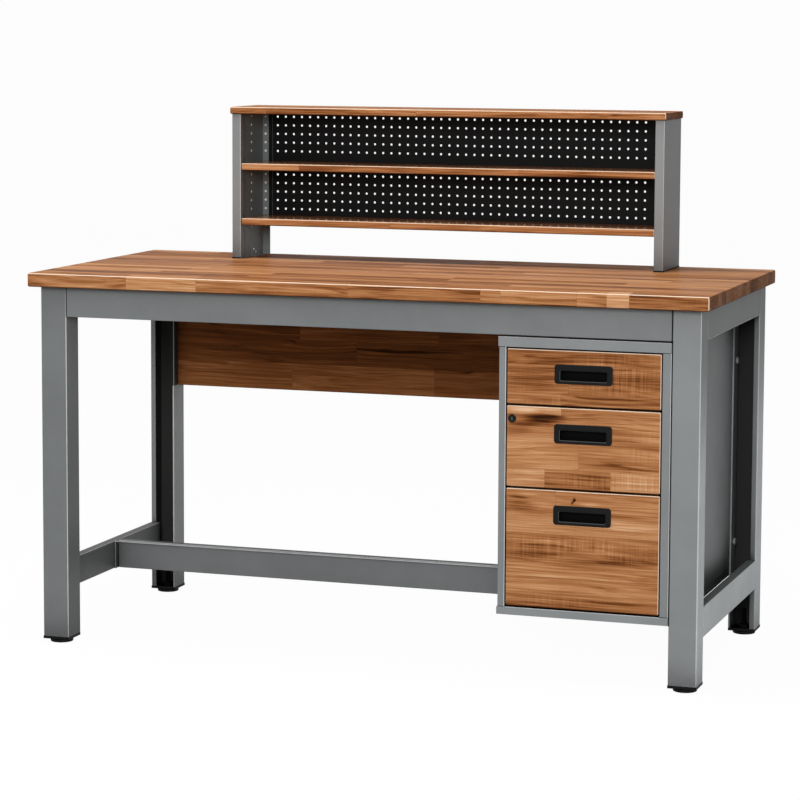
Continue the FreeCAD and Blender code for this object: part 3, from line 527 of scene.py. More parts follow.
# Oiled butcher block: each stave has its own tone, figure and fibres. Each noise has a scale along X, Y
# and Z, then its detail, roughness and distortion. Pairs are the two ends of a soft step
woodLook = {
    "tones": [(0.0, (0.035, 0.012, 0.005)), (0.25, (0.19, 0.062, 0.018)), (0.5, (0.42, 0.172, 0.064)),
              (0.75, (0.60, 0.295, 0.135)), (1.0, (0.80, 0.52, 0.31))],
    "logStep": (17.0, 5.3, 9.1),
    "warp": {"scale": (2.4, 11.0, 11.0), "noise": (2.0, 0.5, 0.0), "reach": 0.050},
    "figure": {"scale": (1.8, 24.0, 24.0), "noise": (4.0, 0.55, 0.4), "share": 0.60},
    "rings": {"scale": (1.3, 110.0, 110.0), "noise": (3.0, 0.6, 0.3), "share": 0.95},
    "fibres": {"scale": (8.0, 420.0, 420.0), "noise": (3.0, 0.6, 0.0), "share": 0.85},
    "ripple": {"scale": (300.0, 6.0, 6.0), "noise": (2.0, 0.6, 0.0), "share": 0.62},
    "patches": {"scale": (7.0, 20.0, 20.0), "noise": (1.0, 0.5, 0.0), "span": (0.34, 0.56)},
    "streaks": {"scale": (1.0, 70.0, 70.0), "noise": (3.0, 0.6, 0.2), "span": (0.60, 0.72), "share": 0.26},
    "ends": {"scale": (1.0, 170.0, 170.0), "noise": (3.0, 0.5, 0.8), "share": 0.9, "tone": 0.72,
             "facing": (0.7, 0.9)},
    "leaning": (0.998, 0.96),
    # Painted highlight on broken edges facing up, right and front, and painted shade on those facing down
    "litEdgeHighlight": {"color": (1.0, 0.80, 0.62), "share": 0.95, "upOrRight": (0.0, 0.2), "frontwards": (0.0, -0.15)},
    "underEdgeShade": {"color": (0.016, 0.005, 0.002), "share": 0.85, "downwards": (0.0, -0.2)},
    "joint": {"width": 0.0006, "color": (0.05, 0.018, 0.008), "share": 0.3},
    # Painted shade in hollows and gaps, from an ambient occlusion reading
    "hollow": {"reach": 0.06, "samples": 4, "open": (0.0, 0.7), "darkest": 0.10},
    "relief": {"fibres": 0.3, "rings": 0.2, "joint": 0.25},
    "gloss": (0.3, 0.7, 0.8, 1.2),      # span of the figure and the share of the roughness at its ends
    "sheens": {     # roughness, bump depth and specular level
        "oiled": (0.38, 0.0004, 0.008), "carved": (0.38, 0.0009, 0.008), "polished": (0.15, 0.0, 1.0),
    },
    "rubbed": (0.6, 0.9, 0.05),     # span of the upward facing, and the specular level below it
}


def makeStaveGroup(look):
    tree, taken, given = newGroup("StaveWood", {
        "Place": "Vector", "Facing": "Vector", "Tone": "Float", "Seed": "Float", "Shift": "Float",
        "Saw Marks": "Float", "Contrast": "Float", "Long Joints": "Vector", "End Joints": "Vector"})

    def calc(operation, *values):
        return mathNode(tree, operation, *values)

    def centred(number, share):
        return calc("MULTIPLY", calc("SUBTRACT", number, 0.5), share)

    # Every stave is cut from another place in the same endless log, whose layers wander a little
    log = vectorNode(tree, "ADD", taken["Place"], scaled(tree, look["logStep"], taken["Seed"]))
    warp = centred(noiseNode(tree, log, look["warp"]), look["warp"]["reach"])
    layers = vectorNode(tree, "ADD", log, scaled(tree, (0.0, 1.0, 1.0), warp))
    figure, rings, streaks = (noiseNode(tree, layers, look[key]) for key in ("figure", "rings", "streaks"))
    fibres, ripple, patches, endRings = (
        noiseNode(tree, log, look[key]) for key in ("fibres", "ripple", "patches", "ends"))
    streaks = remapped(tree, streaks, *look["streaks"]["span"])
    tone = calc("SUBTRACT", taken["Tone"], calc("MULTIPLY", streaks, look["streaks"]["share"]))
    tone = calc("ADD", tone, taken["Shift"])
    for number, key in ((figure, "figure"), (rings, "rings"), (fibres, "fibres")):
        tone = calc("MULTIPLY_ADD", centred(number, look[key]["share"]), taken["Contrast"], tone)
    # Saw marks cross the grain here and there
    patches = remapped(tree, patches, *look["patches"]["span"], 0.0, taken["Saw Marks"])
    tone = calc("ADD", tone, calc("MULTIPLY", patches, centred(ripple, look["ripple"]["share"])))
    # End grain is darker and shows short arcs
    parts, sizes, flatness, upOrRight = leanings(tree, taken["Facing"])
    endTone = calc("ADD", calc("MULTIPLY", taken["Tone"], look["ends"]["tone"]),
                   centred(endRings, look["ends"]["share"]))
    isEnd = remapped(tree, sizes[0], *look["ends"]["facing"])
    mixTone = addNode(tree, "ShaderNodeMix", {0: isEnd, 2: tone, 3: endTone}, data_type="FLOAT")
    color = colorRamp(tree, mixTone.outputs[0], look["tones"])
    # Painted highlight and shade on broken edges, where the surface leans between two faces: pale if they also face
    # the front, and up or to the right, and dark if they face down
    leaning = remapped(tree, flatness, *look["leaning"])
    for key, readings in (("litEdgeHighlight", {"upOrRight": upOrRight, "frontwards": parts[1]}),
                          ("underEdgeShade", {"downwards": parts[2]})):
        share = calc("MULTIPLY", leaning, look[key]["share"])
        for way, reading in readings.items():
            share = calc("MULTIPLY", share, remapped(tree, reading, *look[key][way]))
        color = mixedColor(tree, share, color, look[key]["color"])
    # Joint lines
    nearest = [calc("MINIMUM", *split(tree, taken[key])[:2]) for key in ("Long Joints", "End Joints")]
    joint = remapped(tree, calc("MINIMUM", *nearest), look["joint"]["width"], 0.0)
    color = mixedColor(tree, calc("MULTIPLY", joint, look["joint"]["share"]), color, look["joint"]["color"])
    # Painted shade in hollows and gaps
    feed(tree, given["Color"], hollowShade(tree, color, look["hollow"]))
    feed(tree, given["Roughness"], remapped(tree, figure, *look["gloss"]))
    relief = look["relief"]
    height = calc("ADD", calc("MULTIPLY", fibres, relief["fibres"]), calc("MULTIPLY", rings, relief["rings"]))
    feed(tree, given["Height"], calc("SUBTRACT", height, calc("MULTIPLY", joint, relief["joint"])))
    return tree


staveGroup = makeStaveGroup(woodLook)


def spotShift(tree, place, spots, key, total=0.0):
    # Soft ellipses on the drawer fronts: one minus the scaled distance from each middle, eased, times the
    # spot's own shift. Noise bends their outlines.
    reach = spots["reach"]
    bent = vectorNode(tree, "MULTIPLY_ADD", noiseNode(tree, place, spots["bend"], 1), reach, place)
    for middleX, middleZ, halfX, halfZ, shift in spots[key]:
        start = (-(middleX + reach[0] / 2) / halfX, 0, -(middleZ + reach[2] / 2) / halfZ)
        apart = vectorNode(tree, "MULTIPLY_ADD", bent, (1 / halfX, 0, 1 / halfZ), start)
        distance = addNode(tree, "ShaderNodeVectorMath", {0: apart}, operation="LENGTH").outputs["Value"]
        total = mathNode(tree, "ADD", total, remapped(tree, distance, 1.0, spots["core"], 0.0, shift))
    return total


def makeWood(name, look, sheen, sawMarks, contrast, spots=None):
    made, tree = newMaterial(name)
    place, facing = coordinates(tree)
    wanted = {"Place": place, "Facing": facing, "Shift": 0.0, "Saw Marks": sawMarks, "Contrast": contrast}
    if spots:
        wanted["Shift"] = spotShift(tree, place, spots, "tones")
        wanted["Saw Marks"] = spotShift(tree, place, spots, "sawMarks", sawMarks)
    for label, key in (("Tone", "tone"), ("Seed", "seed")):
        wanted[label] = addNode(tree, "ShaderNodeAttribute", attribute_name=key).outputs["Fac"]
    for label, key in (("Long Joints", "longJoints"), ("End Joints", "endJoints")):
        wanted[label] = addNode(tree, "ShaderNodeUVMap", uv_map=key).outputs[0]
    wood = addNode(tree, "ShaderNodeGroup", wanted, node_tree=staveGroup).outputs
    roughness, bump, specular = look["sheens"][sheen]
    if sheen == "polished":     # only the tops are rubbed to a shine
        specular = remapped(tree, split(tree, facing)[2], *look["rubbed"], specular)
    addSurface(tree, wood["Color"], mathNode(tree, "MULTIPLY", wood["Roughness"], roughness), wood["Height"],
               bump, specular)
    return made


frontSpots = {      # middle x, middle z, half width, half height, then what is added to the tone or saw marks
    "reach": (0.03, 0.0, 0.01), "bend": {"scale": (9.0, 0.0, 40.0), "noise": (2.0, 0.5, 0.0)}, "core": 0.2,
    "sawMarks": [
        (0.56, 0.645, 0.15, 0.06, 1.0), (0.4, 0.595, 0.09, 0.026, 0.8), (0.56, 0.426, 0.17, 0.026, 1.0),
        (0.35, 0.426, 0.06, 0.026, 1.0), (0.61, 0.5, 0.06, 0.04, 0.6), (0.48, 0.282, 0.22, 0.036, 1.1),
        (0.45, 0.172, 0.12, 0.016, 0.5),
    ],
    "tones": [
        # The second spot here is a painted shadow of the lock
        (0.405, 0.55, 0.062, 0.015, -0.55), (0.362, 0.538, 0.045, 0.011, -0.24), (0.35, 0.525, 0.035, 0.012, -0.12),
        (0.5, 0.434, 0.07, 0.015, -0.1), (0.6, 0.429, 0.06, 0.02, 0.14), (0.38, 0.625, 0.08, 0.024, -0.14),
        (0.56, 0.456, 0.11, 0.006, -0.18), (0.352, 0.384, 0.03, 0.005, -0.3), (0.372, 0.393, 0.03, 0.0035, 0.22),
        (0.352, 0.368, 0.055, 0.011, -0.26), (0.4658, 0.384, 0.005, 0.01, -0.55), (0.56, 0.356, 0.09, 0.005, -0.2),
        (0.38, 0.268, 0.08, 0.008, -0.2), (0.54, 0.258, 0.14, 0.008, -0.2), (0.54, 0.176, 0.12, 0.006, -0.24),
        (0.42, 0.295, 0.06, 0.008, 0.12), (0.61, 0.28, 0.11, 0.034, -0.16), (0.36, 0.566, 0.05, 0.01, 0.24),
        (0.5, 0.379, 0.03, 0.006, 0.16), (0.395, 0.374, 0.04, 0.004, 0.2),
    ],
}
oiledWood = makeWood("OiledStaves", woodLook, "oiled", 0.1, 1.0)
shelfWood = makeWood("PolishedShelves", woodLook, "polished", 0.0, 1.0)
# The modesty panel's wood has weak figure and is darkened as painted shade
shadedPanelWood = makeWood("ShadedPanel", woodLook, "oiled", 0.0, 0.45)
frontWood = makeWood("OiledFronts", woodLook, "carved", 0.1, 0.9, frontSpots)

# Sprayed finishes: fine orange peel, faint mottling, a painted highlight on edges that face up or to the right, and
# painted shade in hollows
coatLook = {
    "peel": {"scale": (900.0, 900.0, 900.0), "noise": (2.0, 0.5, 0.0), "share": 0.06, "bump": 0.00006},
    "mottle": {"scale": (7.0, 7.0, 7.0), "noise": (3.0, 0.6, 0.0), "gain": (0.3, 0.7, 0.94, 1.06)},
    # Painted highlight on leaning edges facing up or to the right, in the edge color; painted light on faces to the
    # right, by height; painted shade in hollows
    "leaning": (0.97, 0.80), "upOrRight": (0.0, 0.25), "edgeHighlightShare": 0.85, "sideLightHeights": (0.40, 0.72),
    "hollow": {"reach": 0.14, "samples": 4, "open": (0.35, 0.85), "darkest": 0.03},
    "grey": (0.212, 0.222, 0.225), "edge": (0.80, 0.81, 0.82), "roughness": 0.42,
    # Painted light and shade: shares of the grey for each part of the frame, as its lit and shaded copies: all
    # round, and facing right, low down and high up
    "shares": {"Middle": (0.93, 1.0, 1.0), "Left": (0.86, 0.67, 1.35), "RearLeft": (1.0, 1.6, 1.6),
               "Right": (1.13, 3.2, 0.88), "Cabinet": (1.06, 1.5, 1.5), "Light": (1.20, 1.0, 1.0)},
    # Color, painted edge highlight color, roughness, share of the hollows' painted shade and specular level
    "others": {
        # The pale grey paints highlights, the rivet coat is pale metal brightened as a painted glint, the inner
        # grey is darkened as painted shade, the shadow coat paints shade, the recess black is black darkened as
        # painted shade, and the fold grey paints highlights on the black pegboard folds
        "PaleGreyCoat": ((0.62, 0.63, 0.64), (0.80, 0.81, 0.82), 0.4, 0.5, 0.5),
        "RivetGlintCoat": ((0.75, 0.77, 0.77), (0.9, 0.9, 0.9), 0.4, 0.0, 0.5),
        "InnerGreyCoat": ((0.158, 0.178, 0.174), (0.30, 0.30, 0.30), 0.5, 0.0, 0.5),
        "ShadowCoat": ((0.030, 0.031, 0.029), (0.03, 0.03, 0.03), 0.6, 0.0, 0.2),
        "FoldHighlightGrey": ((0.20, 0.20, 0.20), (0.30, 0.30, 0.30), 0.4, 1.0, 0.5),
        "BlackCoat": ((0.0045, 0.0045, 0.0038), (0.03, 0.03, 0.03), 0.6, 1.0, 0.2),
        "BlackPlastic": ((0.0040, 0.0045, 0.0045), (0.12, 0.125, 0.12), 0.5, 1.0, 0.16),
        "RecessShadeBlack": ((0.0008, 0.0008, 0.0008), (0.05, 0.05, 0.05), 0.7, 1.0, 0.1),
    },
}


def makeCoatGroup(look):
    tree, taken, given = newGroup("SprayedCoat", {
        "Place": "Vector", "Facing": "Vector", "Color": "Color", "Edge": "Color", "Roughness": "Float",
        "Hollow": "Float", "Side Light Low": "Float", "Side Light High": "Float"})

    def calc(operation, *values):
        return mathNode(tree, operation, *values)

    peel, mottle = (noiseNode(tree, taken["Place"], look[key]) for key in ("peel", "mottle"))
    parts, _, flatness, upOrRight = leanings(tree, taken["Facing"])
    # Painted highlight: edges that lean between two faces take the pale edge color where they face up or to the
    # right
    edgeHighlightMask = calc("MULTIPLY", remapped(tree, flatness, *look["leaning"]),
                  remapped(tree, upOrRight, *look["upOrRight"]))
    # Painted light and shade: faces to the right are lighter or darker, by height
    sideLight = remapped(tree, split(tree, taken["Place"])[2], *look["sideLightHeights"], taken["Side Light Low"],
                        taken["Side Light High"])
    sideLight = calc("MULTIPLY_ADD", calc("MAXIMUM", parts[0], 0.0), calc("SUBTRACT", sideLight, 1.0), 1.0)
    shade = calc("MULTIPLY", remapped(tree, mottle, *look["mottle"]["gain"]), sideLight)
    color = mixedColor(tree, calc("MULTIPLY", edgeHighlightMask, look["edgeHighlightShare"]), scaled(tree, taken["Color"], shade),
                       taken["Edge"])
    # Painted shade in hollows, by the Hollow share
    feed(tree, given["Color"], mixedColor(tree, taken["Hollow"], color, hollowShade(tree, color, look["hollow"])))
    feed(tree, given["Roughness"], calc("ADD", taken["Roughness"], calc("MULTIPLY", peel, look["peel"]["share"])))
    feed(tree, given["Height"], peel)
    return tree


coatGroup = makeCoatGroup(coatLook)


def makeCoat(name, look, color, edge, roughness, hollow=1.0, specular=0.5, side=(1.0, 1.0)):
    made, tree = newMaterial(name)
    place, facing = coordinates(tree)
    wanted = {"Place": place, "Facing": facing, "Color": color, "Edge": edge, "Roughness": roughness,
              "Hollow": hollow, "Side Light Low": side[0], "Side Light High": side[1]}
    coat = addNode(tree, "ShaderNodeGroup", wanted, node_tree=coatGroup).outputs
    addSurface(tree, coat["Color"], coat["Roughness"], coat["Height"], look["peel"]["bump"], specular)
    return made


# Lit and shaded copies of one grey, as painted light and shade
greyCoats = {}
for title, (share, *side) in coatLook["shares"].items():
    greyColor = tuple(share * part for part in coatLook["grey"])
    greyCoats[title] = makeCoat(title + "GreyCoat", coatLook, greyColor, coatLook["edge"], coatLook["roughness"],
                                side=side)
greyCoat = greyCoats["Middle"]
highlightGrey, rivetGlintCoat, shadedGrey, shadowCoat, foldHighlightGrey, blackCoat, blackPlastic, recessShadeBlack = (
    makeCoat(name, coatLook, *finish) for name, finish in coatLook["others"].items())

# Zinc plated steel, brushed along X
zincLook = {
    "color": (0.55, 0.56, 0.57), "lowShare": 0.8, "bump": 0.00004, "roughness": (0.3, 0.7, 0.25, 0.42),
    "scale": (20.0, 900.0, 900.0), "noise": (3.0, 0.6, 0.0),
}


def makeZinc(look):
    made, tree = newMaterial("ZincSteel")
    brushed = noiseNode(tree, coordinates(tree)[0], look)
    low = tuple(look["lowShare"] * part for part in look["color"])
    addSurface(tree, mixedColor(tree, brushed, low, look["color"]), remapped(tree, brushed, *look["roughness"]),
               brushed, look["bump"], metallic=1.0)
    return made


zincSteel = makeZinc(zincLook)

# What no piece replaces keeps its own shape, in its slot's finish
slotFinishes = {"grey_powder_coat": greyCoat, "black_powder_coat": blackCoat, "black_plastic": blackPlastic,
                "zinc_steel": zincSteel}
for part in frame["record"]["subparts"]:
    if part["material_slot"] in slotFinishes:
        node = cadNodes[part["node"]]
        node.data.materials.clear()
        node.data.materials.append(slotFinishes[part["material_slot"]])
cadNodes["lock_plug"].data.materials[0] = blackPlastic
# The cabinet bolts take the pale grey as a painted glint
cadNodes["cabinet_bolts"].data.materials[0] = highlightGrey
print("materials ready")


# Tabletop: 17 rows of staves. The front row's joints follow the photograph
topStaves = {
    "front": [(-0.518, 0.44), (-0.3565, 0.60), (-0.015, 0.52), (0.273, 0.42), (0.316, 0.50), (0.477, 0.52),
              (0.539, 0.60), (0.586, 0.76), (0.750, 0.44)],
    "rows": 17, "meanLength": 0.42, "seed": 5, "tones": (0.30, 0.70), "edge": 0.0030,
}
low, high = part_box("bench_top")
topRows = [topStaves["front"]] + randomRows(topStaves["rows"] - 1, low[0], high[0], topStaves)
finishPiece(staveBoard("TopBoard", low, high, 1, topRows, topStaves["edge"]),
            "frame", "oiled_wood", oiledWood, "bench_top")

# Riser boards: the top board and two shelves
riserStaves = {
    "rows": 4, "meanLength": 0.36, "edge": 0.0024,
    "boards": {     # name, finish, seed and range of tones
        "riser_board": ("RiserTopBoard", oiledWood, 11, (0.40, 0.50)),
        "riser_shelf_upper": ("UpperShelfBoard", shelfWood, 12, (0.50, 0.56)),
        "riser_shelf_lower": ("LowerShelfBoard", shelfWood, 13, (0.42, 0.50)),
    },
}
for nodeName, (name, finish, seed, tones) in riserStaves["boards"].items():
    low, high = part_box(nodeName)
    rows = randomRows(riserStaves["rows"], low[0], high[0], {**riserStaves, "seed": seed, "tones": tones})
    finishPiece(staveBoard(name, low, high, 1, rows, riserStaves["edge"]), "frame", "oiled_wood", finish, nodeName)

# Modesty panel: upright board behind the knee space, darkened by painted shade with low stave tones, rows from the
# bottom up
panelStaves = {
    "edge": 0.0015, "lines": [0.562, 0.618, 0.672, 0.728],
    "rows": [[(-0.38, 0.31), (-0.03, 0.33), (0.3042, 0.29)], [(-0.22, 0.20), (0.06, 0.18), (0.3042, 0.17)],
             [(-0.36, 0.21), (-0.02, 0.26), (0.3042, 0.21)], [(-0.10, 0.25), (0.3042, 0.22)], [(0.3042, 0.22)]],
}
low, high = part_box("modesty_panel")
finishPiece(staveBoard("ModestyBoard", low, high, 2, panelStaves["rows"], panelStaves["edge"],
                       lines=panelStaves["lines"]), "frame", "oiled_wood", shadedPanelWood, "modesty_panel")
print("boards ready")

# Drawer fronts: staves run across, rows from the bottom up, with the pull's cut-out
frontStaves = {
    "edge": 0.0028, "pullHalf": (0.0563, 0.0163),
    "top": {"lines": [0.602, 0.662], "rows": [[(0.440, 0.50), (0.649, 0.54)], [(0.455, 0.40), (0.649, 0.46)],
                                              [(0.649, 0.42)]]},
    "middle": {"lines": [0.4460, 0.5105, 0.5585],
               "rows": [[(0.4063, 0.64), (0.545, 0.50), (0.649, 0.64)], [(0.4778, 0.68), (0.649, 0.55)],
                        [(0.649, 0.56)], [(0.440, 0.68), (0.649, 0.52)]]},
    "bottom": {"lines": [0.1885, 0.2215, 0.2505, 0.3120, 0.3490],
               "rows": [[(0.649, 0.50)], [(0.649, 0.56)], [(0.649, 0.60)], [(0.649, 0.54)], [(0.649, 0.60)],
                        [(0.430, 0.54), (0.649, 0.58)]]},
}
for drawer in ("top", "middle", "bottom"):
    low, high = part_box("drawer_front_" + drawer)
    pullLow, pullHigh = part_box("pull_" + drawer)
    middle = (pullLow + pullHigh) / 2
    half = frontStaves["pullHalf"]
    opening = (middle[0] - half[0], middle[2] - half[1], middle[0] + half[0], middle[2] + half[1])
    spec = frontStaves[drawer]
    board = staveBoard(drawer.capitalize() + "DrawerFront", low, high, 2, spec["rows"], frontStaves["edge"],
                       opening, spec["lines"])
    finishPiece(board, "drawer_" + drawer, "oiled_wood", frontWood, "drawer_front_" + drawer)
print("drawer fronts ready")


# Frame: folded channel legs, pan-shaped rails, flat tubes
frameSheet = {"wall": 0.002, "legLip": 0.012, "legBend": 0.003, "railBend": 0.0022, "tubeEdge": 0.0025,
              "plateEdge": 0.0006, "endPlate": 0.003, "tubeInset": 0.014}
legCorners = ("front_left", "front_right", "rear_left", "rear_right")


def camelName(nodeName):
    return "".join(word.capitalize() for word in nodeName.split("_"))


def steelPiece(name, stacks, coat, *replaced):
    finishPiece(joinedRings(name, stacks), "frame", "grey_powder_coat", coat, *replaced)


def panRings(low, high, plane, opens, wall, bend, flange=0.0, steps=3):
    # A pan: its face is drawn in along a quarter circle, its sides run back to the rim, and the inner
    # wall follows one sheet thickness inside. A flange turns the rim inwards.
    low, high = np.array(low), np.array(high)
    wide, tall, deep = plane
    half, middle = (high - low) / 2, (high + low) / 2
    face, rim = (low[deep], high[deep]) if opens > 0 else (high[deep], low[deep])
    turn = np.linspace(0, np.pi / 2, steps + 1)
    small = shapeTools["leastCorner"] * bend
    rows = [(inset, max(bend - inset, small), face + opens * rise)
            for inset, rise in zip(bend * (1 - np.sin(turn)), bend * (1 - np.cos(turn)))]
    rows.append((0.0, bend, rim))
    if flange:
        rows += [(flange, small, rim), (flange, small, rim - opens * wall)]
        rim -= opens * wall
    rows += [(wall, small, rim), (wall, small, face + opens * wall)]
    return rectRings([(half[wide] - inset, half[tall] - inset, corner, depth, middle[wide], middle[tall])
                      for inset, corner, depth in rows], plane, steps)


for corner in legCorners:
    low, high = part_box("leg_" + corner)
    isRight, isFront = "right" in corner, "front" in corner
    outX, inward = (high.x, -1) if isRight else (low.x, 1)
    webY, back = (low.y, 1) if isFront else (high.y, -1)
    width, depth = high.x - low.x, high.y - low.y
    path = [(frameSheet["legLip"], depth), (0, depth), (0, 0), (width, 0), (width, depth)]
    section = foldedSection([(outX + inward * x, webY + back * y) for x, y in path], frameSheet["legBend"],
                            frameSheet["wall"])
    # Each leg takes a lit or shaded copy of the grey, as painted light and shade
    coat = greyCoats["Right" if isRight else "Left" if isFront else "RearLeft"]
    steelPiece(camelName(corner) + "Leg", [carriedRings(section, (low.z, high.z))], coat, "leg_" + corner)

railPans = {"front_rail": ("FrontRail", (0, 2, 1), 1), "rear_rail": ("RearRail", (0, 2, 1), -1),
            "upper_side_rail_left": ("UpperLeftRail", (1, 2, 0), 1),
            "upper_side_rail_right": ("UpperRightRail", (1, 2, 0), -1)}
for nodeName, (name, plane, opens) in railPans.items():
    rings = panRings(*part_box(nodeName), plane, opens, frameSheet["wall"], frameSheet["railBend"])
    steelPiece(name, [rings], greyCoat, nodeName)
for hand in ("left", "right"):
    nodeName, title = "lower_side_rail_" + hand, hand.capitalize()
    rings = roundedBlockRings(*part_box(nodeName), frameSheet["tubeEdge"], (0, 2, 1))
    steelPiece("Lower%sRail" % title, [rings], greyCoats[title], nodeName)

# Stretcher: a flat tube between two welded plates
low, high = stretcherLow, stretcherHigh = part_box("stretcher")
plate, lap = Vector((frameSheet["endPlate"], 0, 0)), Vector((0, frameSheet["tubeInset"], 0))
stacks = [roundedBlockRings(*ends, edge, (1, 2, 0)) for ends, edge in (
    ((low + plate + lap, high - plate - lap), frameSheet["tubeEdge"]),
    ((low, (low.x + plate.x, high.y, high.z)), frameSheet["plateEdge"]),
    (((high.x - plate.x, low.y, low.z), high), frameSheet["plateEdge"]))]
steelPiece("Stretcher", stacks, greyCoats["Left"], "stretcher")
print("frame ready")

# Cabinet: cap and base are pans with flanges, and each side folds round a post at the front
cabinetSheet = {
    "wall": 0.0012, "bend": 0.0016, "flange": 0.016, "jamb": {"left": 0.015, "right": 0.019},
    "jambReturn": 0.060,
    "strike": {"play": 0.004, "above": 0.032, "below": 0.010, "edge": 0.0001},
    # The last entry places the strip of painted shade below the cabinet's right side
    "hem": {"inX": (0.0012, 0.0002), "fromY": -0.250, "down": 0.0045, "edge": 0.0002},
}
for nodeName in ("cabinet_cap", "cabinet_base"):
    rings = panRings(*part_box(nodeName), (0, 1, 2), -1, cabinetSheet["wall"], cabinetSheet["bend"],
                     cabinetSheet["flange"])
    # The cap and base take the lit copy of the grey, as painted light
    steelPiece(camelName(nodeName), [rings], greyCoats["Light"], nodeName)
lockLow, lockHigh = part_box("lock_plug")
lockMiddle = (lockLow + lockHigh) / 2
for hand in ("left", "right"):
    low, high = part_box("cabinet_side_" + hand)
    outX, inward = (low.x, 1) if hand == "left" else (high.x, -1)
    jambX = outX + inward * cabinetSheet["jamb"][hand]

    def sideSection(jambReturn):
        path = [(outX, high.y), (outX, low.y), (jambX, low.y), (jambX, low.y + jambReturn)]
        return foldedSection(path, cabinetSheet["bend"], cabinetSheet["wall"])

    full = sideSection(cabinetSheet["jambReturn"])
    stacks = [carriedRings(full, (low.z, high.z))]
    if hand == "left":
        # A slot beside the lock lets the cam swing behind the post
        camLow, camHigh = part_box("lock_cam")
        strike = cabinetSheet["strike"]
        slotZ = (lockMiddle.z - strike["below"], lockMiddle.z + strike["above"])
        short = carriedRings(sideSection(camLow.y - strike["play"] - low.y), slotZ)
        around = carriedRings(full, (low.z, *slotZ, high.z))
        strip = roundedBlockRings((jambX - cabinetSheet["wall"], camHigh.y + strike["play"], slotZ[0]),
                                  (jambX, low.y + cabinetSheet["jambReturn"], slotZ[1]), strike["edge"])
        stacks = [np.concatenate([around[:2], short, around[2:]]), strip]
    steelPiece("Cabinet%sSide" % hand.capitalize(), stacks, greyCoats["Cabinet"], "cabinet_side_" + hand)

# Thin strips on the frame, each from one corner to the other: painted shade in the seams where rails meet legs,
# posts meet the cap and base and uprights meet the top, painted highlights on sheet edges, painted shade on the
# lower right rail's top with a painted lighter patch inside the rear right leg, and painted shade inside the rear
# legs and behind the panel
strips = {
    "edge": 0.0003,
    "SeamShades": (recessShadeBlack, [
        ((-0.67, -0.3152, 0.72), (-0.6686, -0.314, 0.785)), ((0.6686, -0.3152, 0.72), (0.67, -0.314, 0.785)),
        ((0.307, -0.3152, 0.695), (0.322, -0.314, 0.6962)), ((0.651, -0.3152, 0.695), (0.67, -0.314, 0.6962)),
        ((0.307, -0.3152, 0.1538), (0.322, -0.314, 0.155)), ((0.651, -0.3152, 0.1538), (0.67, -0.314, 0.155)),
        ((0.729, 0.2732, 0.72), (0.7302, 0.2748, 0.785)), ((0.6694, -0.3156, 0.137), (0.671, -0.314, 0.72)),
        ((-0.482, 0.1772, 0.815), (-0.461, 0.179, 0.818)), ((0.511, 0.1772, 0.815), (0.5322, 0.179, 0.818)),
        ((0.531, 0.1772, 0.815), (0.5326, 0.338, 0.8172)),
    ]),
    "EdgeHighlights": (highlightGrey, [
        ((stretcherLow.x, stretcherLow.y - 0.0004, stretcherHigh.z - 0.0016),
         (stretcherHigh.x, stretcherLow.y + 0.0008, stretcherHigh.z + 0.0002)),
        ((0.6706, 0.2748, 0.012), (0.6736, 0.279, 0.785)), ((0.729, 0.275, 0.72), (0.7303, 0.2772, 0.785)),
        ((-0.6736, 0.2748, 0.012), (-0.6706, 0.279, 0.499)), ((0.3206, -0.3156, 0.154), (0.3222, -0.314, 0.696)),
        ((0.668, -0.3156, 0.154), (0.6692, -0.3142, 0.696)), ((0.729, -0.254, 0.72), (0.7303, 0.274, 0.7213)),
    ]),
    "FrameLightAndShade": (shadedGrey, [
        ((0.71, -0.255, 0.1695), (0.728, 0.275, 0.1702)), ((0.6721, 0.278, 0.014), (0.6724, 0.324, 0.785)),
    ]),
    "LegShades": (shadowCoat, [
        ((-0.6702, 0.276, 0.499), (-0.6697, 0.2975, 0.72)), ((-0.728, 0.3322, 0.014), (-0.6722, 0.3329, 0.785)),
        ((0.6722, 0.3322, 0.014), (0.728, 0.3329, 0.785)),
    ]),
}
for name in ("SeamShades", "EdgeHighlights", "FrameLightAndShade", "LegShades"):
    finish, places = strips[name]
    steelPiece(name, [roundedBlockRings(*ends, strips["edge"]) for ends in places], finish)

# Foot caps: the black plates' rims, folded up round each leg's end
rimShape = {"proud": 0.0003, "thick": 0.0008, "up": 0.0030, "edge": 0.0002}
proud, thick = rimShape["proud"], rimShape["thick"]
stacks = []
for corner in legCorners:
    low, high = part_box("leg_" + corner)
    bottom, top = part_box("foot_plates")[0].z, low.z + rimShape["up"]
    for x0, x1, y0, y1 in ((low.x - proud, high.x + proud, low.y - proud, low.y + thick),
                           (low.x - proud, high.x + proud, high.y - thick, high.y + proud),
                           (low.x - proud, low.x + thick, low.y - proud, high.y + proud),
                           (high.x - thick, high.x + proud, low.y - proud, high.y + proud)):
        stacks.append(roundedBlockRings((x0, y0, bottom), (x1, y1, top), rimShape["edge"]))
finishPiece(joinedRings("FootCapRims", stacks), "frame", "black_powder_coat", blackPlastic)

# Painted shade: a dark strip hangs below the cabinet's right side
hem, (low, high), baseZ = cabinetSheet["hem"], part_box("cabinet_side_right"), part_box("cabinet_base")[0].z
block = roundedBlockRings((high.x - hem["inX"][0], hem["fromY"], baseZ - hem["down"]),
                          (high.x - hem["inX"][1], high.y, baseZ), hem["edge"])
steelPiece("CabinetLowerShade", [block], shadowCoat)
print("cabinet ready")

